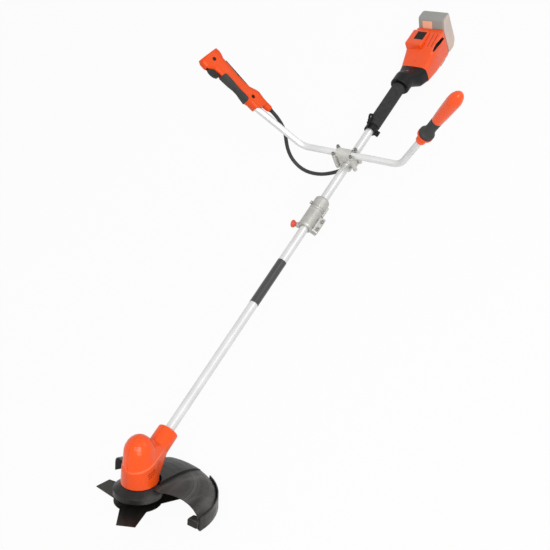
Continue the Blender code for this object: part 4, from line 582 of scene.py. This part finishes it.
class CUTTER_OT_sleeve(bpy.types.Operator):
    """Make the fluted foam sleeve on the shaft"""

    bl_idname = "cutter.sleeve"
    bl_label = "Hand Sleeve"

    def execute(self, context):
        mesh = self.fluted_mesh("sleeve_foam", self.end_rings())
        mesh.shade_smooth()
        paint = Paint("sleeve foam", colours().foam, 0.85)
        paint.mottle(scale=60.0, amount=0.15)
        paint.gloss(0.70, 0.92, scale=80.0)
        paint.bump(paint.cells(1100.0), detail().grain * 4)
        piece = new_object("sleeve_foam", mesh, paint, "machine")
        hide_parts("hand_sleeve")
        return {"FINISHED"}

    def end_rings(self):
        """Rings along the sleeve from bore to bore: place on the shaft, radius, and share of the flutes."""
        points = in_tool("hand_sleeve")
        start, end = min(p.x for p in points), max(p.x for p in points)
        reach = max(math.hypot(p.y, p.z) for p in points)
        bore = min(math.hypot(p.y, p.z) for p in points)
        rings = [(start, bore, 0.0)]
        rings += [(start + inset, reach - depth, 0.0) for inset, depth in SLEEVE_END]
        rings += [(start + SLEEVE_LIP, reach, 0.0), (start + SLEEVE_LIP + SLEEVE_RUN, reach, 1.0)]
        rings += [(end - SLEEVE_LIP - SLEEVE_RUN, reach, 1.0), (end - SLEEVE_LIP, reach, 0.0)]
        rings += [(end - inset, reach - depth, 0.0) for inset, depth in reversed(SLEEVE_END)]
        rings += [(end, bore, 0.0)]
        return rings

    def fluted_mesh(self, name, rings):
        """Closed mesh through the rings, with flutes pressed in."""
        around = detail().flutes * FLUTE_STEPS
        shape = bmesh.new()
        loops = []
        for along, radius, fluted in rings:
            loop = []
            for step in range(around):
                angle = 2 * math.pi * step / around
                dent = (1 - abs(math.cos(angle * detail().flutes / 2))) ** 2
                out = radius - fluted * dent * detail().flute_depth
                spot = Vector((along, out * math.cos(angle), out * math.sin(angle)))
                loop.append(shape.verts.new(TOOL @ spot))
            loops.append(loop)
        for first, second in zip(loops, loops[1:] + loops[:1]):
            for step in range(around):
                corner = (step + 1) % around
                shape.faces.new((first[step], first[corner], second[corner], second[step]))
        bmesh.ops.recalc_face_normals(shape, faces=shape.faces)
        mesh = bpy.data.meshes.new(name)
        shape.to_mesh(mesh)
        shape.free()
        return mesh


class CUTTER_OT_pod(bpy.types.Operator):
    """Dress the motor pod and the motor in it"""

    bl_idname = "cutter.pod"
    bl_label = "Motor Pod"

    def execute(self, context):
        orange = colours().orange
        # The pod's edges are paled twice as much, as painted highlight on top of worn edges
        shell = plastic("pod orange", orange, 0.30, POD_PALE, coat=0.28, wear_and_highlight=2.0, reach=detail().flow)
        upward = (-math.sin(CREASE_RISE), 0, math.cos(CREASE_RISE))
        head = shell.local(HEAD_PITCH)
        along, across, _ = shell.split(head)
        height = shell.height_over(head, CREASE_FRONT, upward)
        # Painted shade: the skirt below the crease is darkened towards a deeper orange
        painted_skirt_shade = shell.spread(height, (CREASE_BLEND, -CREASE_BLEND), (0.0, SKIRT_SHARE))
        shell.paint(shell.mix(painted_skirt_shade, shell.base(), shaded(orange, SKIRT_SHADE)))
        # Painted highlight: a pale band just above the crease, fading across the pod and towards the neck
        from_edge = shell.math("ABSOLUTE", shell.math("SUBTRACT", height, CREASE_HIGHLIGHT_BAND / 2))
        crease_highlight = shell.spread(from_edge, (0.0, CREASE_HIGHLIGHT_BAND), (1.0, 0.0))
        near = shell.spread(across, HIGHLIGHT_ACROSS, HIGHLIGHT_SHARE)
        ahead = shell.spread(along, HIGHLIGHT_BACK, (1.0, 0.0))
        crease_highlight = shell.math("MULTIPLY", crease_highlight, shell.math("MULTIPLY", near, ahead))
        shell.paint(shell.mix(crease_highlight, shell.base(), POD_PALE))
        dress(shell, "pod_left", "pod_right")
        wound = {"metallic": 0.9, "pitch": HEAD_PITCH, "stretch": (200, 200, 40)}
        dress(metal("windings", COPPER, 0.42, 30.0, **wound), "motor_stator")
        turned = {"metallic": 1.0, "pitch": HEAD_PITCH, "stretch": (1, 1, 200)}
        steel = metal("turned steel", STEEL, 0.28, 40.0, **turned)
        dress(steel, "motor_rotor", "upper_bearing", "lower_bearing")
        dress(cast("motor base casting", colours().casting), "motor_base")
        return {"FINISHED"}


class CUTTER_OT_guard(bpy.types.Operator):
    """Dress the guard and its extension"""

    bl_idname = "cutter.guard"
    bl_label = "Guard"

    def execute(self, context):
        finish = {"coat": 0.04, "grain": 1500.0, "shine": 0.19, "reach": detail().flow}
        paint = plastic("guard plastic", colours().guard, 0.38, GUARD_PALE, **finish)
        head = paint.local(HEAD_PITCH)
        _, across, _ = paint.split(head)
        # Dust and painted sheen: paler patches, strongest on the guard's near side
        dust_and_sheen_noise = paint.noise(7.0, 6.0, paint.local(HEAD_PITCH, (1, 6, 6)))
        dust_and_sheen = paint.spread(dust_and_sheen_noise, (0.45, 0.72), (0.15, 0.75))
        near = paint.spread(across, DUST_AND_SHEEN_SIDE, (0.12, 1.0))
        paint.paint(paint.mix(paint.math("MULTIPLY", dust_and_sheen, near), paint.base(), GUARD_DUST_AND_SHEEN))
        # Painted sheen: faint pale arc streaks in a band of radii, on the near side
        about = paint.vector_math("SUBTRACT", head, (GUARD_CENTRE, 0, 0))
        flat = paint.vector_math("MULTIPLY", about, (1, 1, 0))
        radius = paint.vector_math("LENGTH", flat, output="Value")
        begin = paint.spread(radius, SHEEN_STREAKS_BEGIN, (0.0, 1.0))
        end = paint.spread(radius, SHEEN_STREAKS_END, (0.0, 1.0))
        arcs = paint.noise(260.0, 3.0, paint.rings(radius))
        streaks = paint.spread(arcs, (0.40, 0.66), (0.0, 0.55))
        band = paint.math("MULTIPLY", begin, end)
        band = paint.math("MULTIPLY", band, paint.math("MULTIPLY", streaks, near))
        paint.paint(paint.mix(band, paint.base(), GUARD_SHEEN_STREAK))
        dress(paint, "guard", "guard_extension")
        return {"FINISHED"}


class CUTTER_OT_blade(bpy.types.Operator):
    """Dress the blade, its flange, washer and nut, and the line cutter"""

    bl_idname = "cutter.blade"
    bl_label = "Blade"

    def execute(self, context):
        rolled = {"metallic": 0.7, "pitch": HEAD_PITCH, "stretch": (3, 3, 200)}
        paint = metal("blackened blade", colours().blade, 0.40, 25.0, **rolled)
        spots = paint.spread(paint.noise(55.0, 5.0), (0.58, 0.75), (0.0, 0.6))
        paint.paint(paint.mix(spots, paint.base(), BLADE_RUST))
        dress(paint, "blade")
        turned = {"metallic": 0.8, "pitch": HEAD_PITCH, "stretch": (20, 20, 200)}
        oxide = metal("black oxide", FLANGE_OXIDE, 0.42, 60.0, **turned)
        dress(oxide, "clamp_washer", "blade_nut", "line_cutter", "drive_flange")
        return {"FINISHED"}


class CUTTER_OT_shaft(bpy.types.Operator):
    """Dress the tubes, the bare band and the handlebar"""

    bl_idname = "cutter.shaft"
    bl_label = "Shaft and Handlebar"

    def execute(self, context):
        tube = metal("drawn tube", colours().tube, 0.34, 6.0, metallic=0.55, reach=detail().flow)
        dress(tube, "lower_tube", "upper_tube")
        drawn = {"metallic": 0.5, "stretch": ALONG_BAR, "reach": detail().flow}
        dress(metal("anodised bar", shaded(colours().tube, 1.08), 0.38, 6.0, **drawn), "handlebar")
        film = Paint("bare band film", BAND_FILM, 0.32, coat_weight=0.3, coat_roughness=0.1)
        film.mottle(scale=30.0, amount=0.1)
        film.gloss(0.26, 0.40, scale=40.0)
        film.bump(film.noise(300.0), detail().grain)
        dress(film, "shaft_band")
        return {"FINISHED"}


class CUTTER_OT_castings(bpy.types.Operator):
    """Dress the coupling, the bracket and the lock"""

    bl_idname = "cutter.castings"
    bl_label = "Castings"

    def execute(self, context):
        dress(cast("coupling casting", colours().casting, detail().flow), "coupling_body")
        layers = ("bracket_lower", "bracket_middle", "bracket_upper")
        dress(cast("bracket casting", shaded(colours().casting, 1.30)), *layers)
        dress(plastic("knob orange", KNOB_ORANGE, 0.38, KNOB_PALE, coat=0.2), "lock_knob")
        dress(metal("pin steel", STEEL, 0.28, 40.0), "lock_pin")
        return {"FINISHED"}


class CUTTER_OT_screws(bpy.types.Operator):
    """Dress the screws and bolts"""

    bl_idname = "cutter.screws"
    bl_label = "Screws"

    def execute(self, context):
        names = [name for name in frame["nodes"] if "screw" in name or "bolt" in name]
        dress(metal("screw oxide", SCREW_OXIDE, 0.40, 90.0, metallic=0.8), *names)
        bright = [name for name in names if name.startswith(("bracket", "coupling"))]
        dress(metal("screw zinc", SCREW_ZINC, 0.36, 90.0, metallic=0.9), *bright)
        return {"FINISHED"}


class CUTTER_OT_trigger_grip(bpy.types.Operator):
    """Dress the trigger grip and what is on it"""

    bl_idname = "cutter.trigger_grip"
    bl_label = "Trigger Grip"

    def execute(self, context):
        orange = shaded(colours().orange, 0.88)
        shell = plastic("grip orange", orange, 0.36, GRIP_PALE, coat=0.06, reach=detail().flow)
        dress(shell, "trigger_grip_left", "trigger_grip_right")
        dress(rubbery("pad rubber", colours().rubber, hatch=300.0), "grip_pad")
        dress(rubbery("gland rubber", colours().rubber), "cable_gland")
        black = shaded(colours().black, 2.2)
        dress(plastic("control black", black, 0.46, CONTROL_PALE, coat=0.05), "trigger", "lock_lever")
        dress(plastic("switch black", colours().black, 0.5, SWITCH_PALE), "trigger_switch")
        return {"FINISHED"}


class CUTTER_OT_plain_grip(bpy.types.Operator):
    """Dress the plain grip"""

    bl_idname = "cutter.plain_grip"
    bl_label = "Plain Grip"

    def execute(self, context):
        shell = plastic("core orange", colours().orange, 0.30, GRIP_PALE, coat=0.50, reach=detail().flow)
        dress(shell, "plain_grip_core")
        dress(rubbery("grip rubber", colours().rubber), "plain_grip_rubber")
        return {"FINISHED"}


class CUTTER_OT_housing(bpy.types.Operator):
    """Dress the hanger, the adapter and the rear housing"""

    bl_idname = "cutter.housing"
    bl_label = "Rear Housing"

    def execute(self, context):
        # The housing's edges are paled more than twice as much, as painted highlight on top of worn edges
        paint = plastic("housing orange", colours().orange, 0.30, HOUSING_PALE, coat=0.60, wear_and_highlight=2.2)
        along, across, up = paint.split(paint.local(TOOL_PITCH))
        # The side slots' walls and floor are painted black
        inside = paint.within(along, *SIDE_SLOT_X)
        level = paint.within(up, *SIDE_SLOT_Z)
        outward = paint.math("GREATER_THAN", paint.math("ABSOLUTE", across), SIDE_SLOT_Y)
        slot = paint.math("MULTIPLY", paint.math("MULTIPLY", inside, level), outward)
        paint.paint(paint.mix(slot, paint.base(), colours().black))
        dress(paint, "housing_left", "housing_right")
        finish = {"coat": 0.03, "shine": 0.18, "wear_and_highlight": 1.6}
        black = plastic("adapter black", colours().black, 0.44, ADAPTER_PALE, **finish)
        dress(black, "shaft_adapter", "hanger_clamp", "power_button", "terminal_block")
        board = Paint("potted board", BOARD_GREEN, 0.5)
        board.mottle(scale=50.0, amount=0.3)
        dress(board, "controller")
        return {"FINISHED"}


class CUTTER_OT_battery(bpy.types.Operator):
    """Dress the battery, its catch and the foot"""

    bl_idname = "cutter.battery"
    bl_label = "Battery"

    def execute(self, context):
        paint = plastic("battery grey", colours().battery, 0.42, BATTERY_PALE, coat=0.1)
        _, facing, _ = paint.split(paint.node("ShaderNodeNewGeometry").outputs["True Normal"])
        flank = paint.spread(facing, (-0.75, -0.95), (0.0, 1.0))
        drift = paint.spread(paint.noise(14.0, 3.0), (0.35, 0.65), (0.0, 1.0))
        flush = paint.mix(drift, FLANK_DARK, FLANK_LIGHT)
        paint.paint(paint.mix(flank, paint.base(), flush))
        dress(paint, "battery_pack")
        dress(plastic("foot grey", colours().battery, 0.46, BATTERY_PALE), "rear_foot")
        dress(plastic("catch peach", colours().catch, 0.40, CATCH_PALE, coat=0.1), "battery_latch")
        return {"FINISHED"}


class CUTTER_OT_stage(bpy.types.Operator):
    """Set the floor, the light and the photograph's camera"""

    bl_idname = "cutter.stage"
    bl_label = "Studio"

    def execute(self, context):
        settings = context.scene.cutter_stage
        self.add_world(context.scene, settings)
        self.add_floor(context.scene, settings)
        self.add_light(context.scene, "key", settings.key, KEY_PLACE, KEY_SIZE)
        self.add_light(context.scene, "fill", settings.fill, FILL_PLACE, FILL_SIZE)
        self.add_camera(context.scene)
        context.scene.view_settings.view_transform = "Standard"
        return {"FINISHED"}

    def background_rays(self, tree):
        """1 for rays that show the background: from the camera, mirrored or let through."""
        path = tree.nodes.new("ShaderNodeLightPath")
        seen = path.outputs["Is Camera Ray"]
        for key in ("Is Glossy Ray", "Is Transmission Ray"):
            either = tree.nodes.new("ShaderNodeMath")
            either.operation = "MAXIMUM"
            tree.links.new(seen, either.inputs[0])
            tree.links.new(path.outputs[key], either.inputs[1])
            seen = either.outputs[0]
        return seen

    def add_world(self, scene, settings):
        """White surround: full white where it is seen or mirrored, softer as light."""
        world = bpy.data.worlds.new("studio")
        world.use_nodes = True
        tree = world.node_tree
        surround = tree.nodes["Background"]
        surround.inputs["Color"].default_value = (1, 1, 1, 1)
        seen = self.background_rays(tree)
        level = tree.nodes.new("ShaderNodeMapRange")
        level.inputs["To Min"].default_value = settings.sky
        level.inputs["To Max"].default_value = 1.0
        tree.links.new(seen, level.inputs["Value"])
        tree.links.new(level.outputs[0], surround.inputs["Strength"])
        scene.world = world

    def add_floor(self, scene, settings):
        """Large pale floor that is seen almost white and keeps a faint shadow."""
        half = settings.floor / 2
        mesh = bpy.data.meshes.new("studio_floor")
        corners = [(-half, -half, 0), (half, -half, 0), (half, half, 0), (-half, half, 0)]
        mesh.from_pydata(corners, [], [(0, 1, 2, 3)])
        floor = bpy.data.objects.new("studio_floor", mesh)
        scene.collection.objects.link(floor)
        material = bpy.data.materials.new("floor white")
        material.use_nodes = True
        tree = material.node_tree
        shader = tree.nodes["Principled BSDF"]
        shader.inputs["Base Color"].default_value = FLOOR_GREY
        shader.inputs["Roughness"].default_value = 0.9
        shader.inputs["Specular IOR Level"].default_value = 0.1
        glow = tree.nodes.new("ShaderNodeEmission")
        blend = tree.nodes.new("ShaderNodeMixShader")
        seen = self.background_rays(tree)
        share = tree.nodes.new("ShaderNodeMath")
        share.operation = "MULTIPLY"
        share.inputs[1].default_value = FLOOR_GLOW
        tree.links.new(seen, share.inputs[0])
        tree.links.new(share.outputs[0], blend.inputs[0])
        tree.links.new(shader.outputs[0], blend.inputs[1])
        tree.links.new(glow.outputs[0], blend.inputs[2])
        tree.links.new(blend.outputs[0], tree.nodes["Material Output"].inputs["Surface"])
        mesh.materials.append(material)

    def add_light(self, scene, name, power, place, size):
        """Square soft light aimed at the floor under the middle of the part."""
        data = bpy.data.lights.new(name, "AREA")
        data.energy = power
        data.size = size
        light = bpy.data.objects.new(name, data)
        light.location = place
        light.rotation_euler = (-Vector(place)).to_track_quat("-Z", "Y").to_euler()
        scene.collection.objects.link(light)

    def add_camera(self, scene):
        """The photograph's camera, carried from the tool's frame."""
        data = bpy.data.cameras.new("photo_camera")
        data.lens = CAMERA_LENS
        data.sensor_width = CAMERA_SENSOR
        camera = bpy.data.objects.new("photo_camera", data)
        forward = Vector(CAMERA_AIM).normalized()
        right = forward.cross(Vector(CAMERA_UP).normalized()).normalized()
        up = right.cross(forward)
        axes = Matrix((right, up, -forward)).transposed().to_4x4()
        camera.matrix_world = TOOL @ Matrix.Translation(CAMERA_PLACE) @ axes
        scene.collection.objects.link(camera)
        scene.camera = camera


OPERATORS = (
    CUTTER_OT_stage,
    CUTTER_OT_conduit,
    CUTTER_OT_sleeve,
    CUTTER_OT_pod,
    CUTTER_OT_guard,
    CUTTER_OT_blade,
    CUTTER_OT_shaft,
    CUTTER_OT_castings,
    CUTTER_OT_screws,
    CUTTER_OT_trigger_grip,
    CUTTER_OT_plain_grip,
    CUTTER_OT_housing,
    CUTTER_OT_battery,
)
GROUPS = {"cutter_colours": CutterColours, "cutter_detail": CutterDetail, "cutter_stage": CutterStage}


class CUTTER_PT_panel(bpy.types.Panel):
    """Settings and operators in the sidebar"""

    bl_idname = "CUTTER_PT_panel"
    bl_label = "Brush Cutter"
    bl_space_type = "VIEW_3D"
    bl_region_type = "UI"
    bl_category = "Cutter"

    def draw(self, context):
        for name, group in GROUPS.items():
            column = self.layout.column()
            for key in group.__annotations__:
                column.prop(getattr(context.scene, name), key)
        for operator in OPERATORS:
            self.layout.operator(operator.bl_idname)


def register():
    """Register the classes and hang the settings on the scene."""
    for group in GROUPS.values():
        bpy.utils.register_class(group)
    for operator in OPERATORS:
        bpy.utils.register_class(operator)
    bpy.utils.register_class(CUTTER_PT_panel)
    for key, group in GROUPS.items():
        setattr(bpy.types.Scene, key, bpy.props.PointerProperty(type=group))


def unregister():
    """Take the settings and the classes away again."""
    for key in GROUPS:
        delattr(bpy.types.Scene, key)
    bpy.utils.unregister_class(CUTTER_PT_panel)
    for operator in reversed(OPERATORS):
        bpy.utils.unregister_class(operator)
    for group in reversed(GROUPS.values()):
        bpy.utils.unregister_class(group)


def main():
    """Register, set the stage and dress the part."""
    register()
    for operator in OPERATORS:
        group, name = operator.bl_idname.split(".")
        getattr(getattr(bpy.ops, group), name)()


if __name__ == "__main__":
    main()
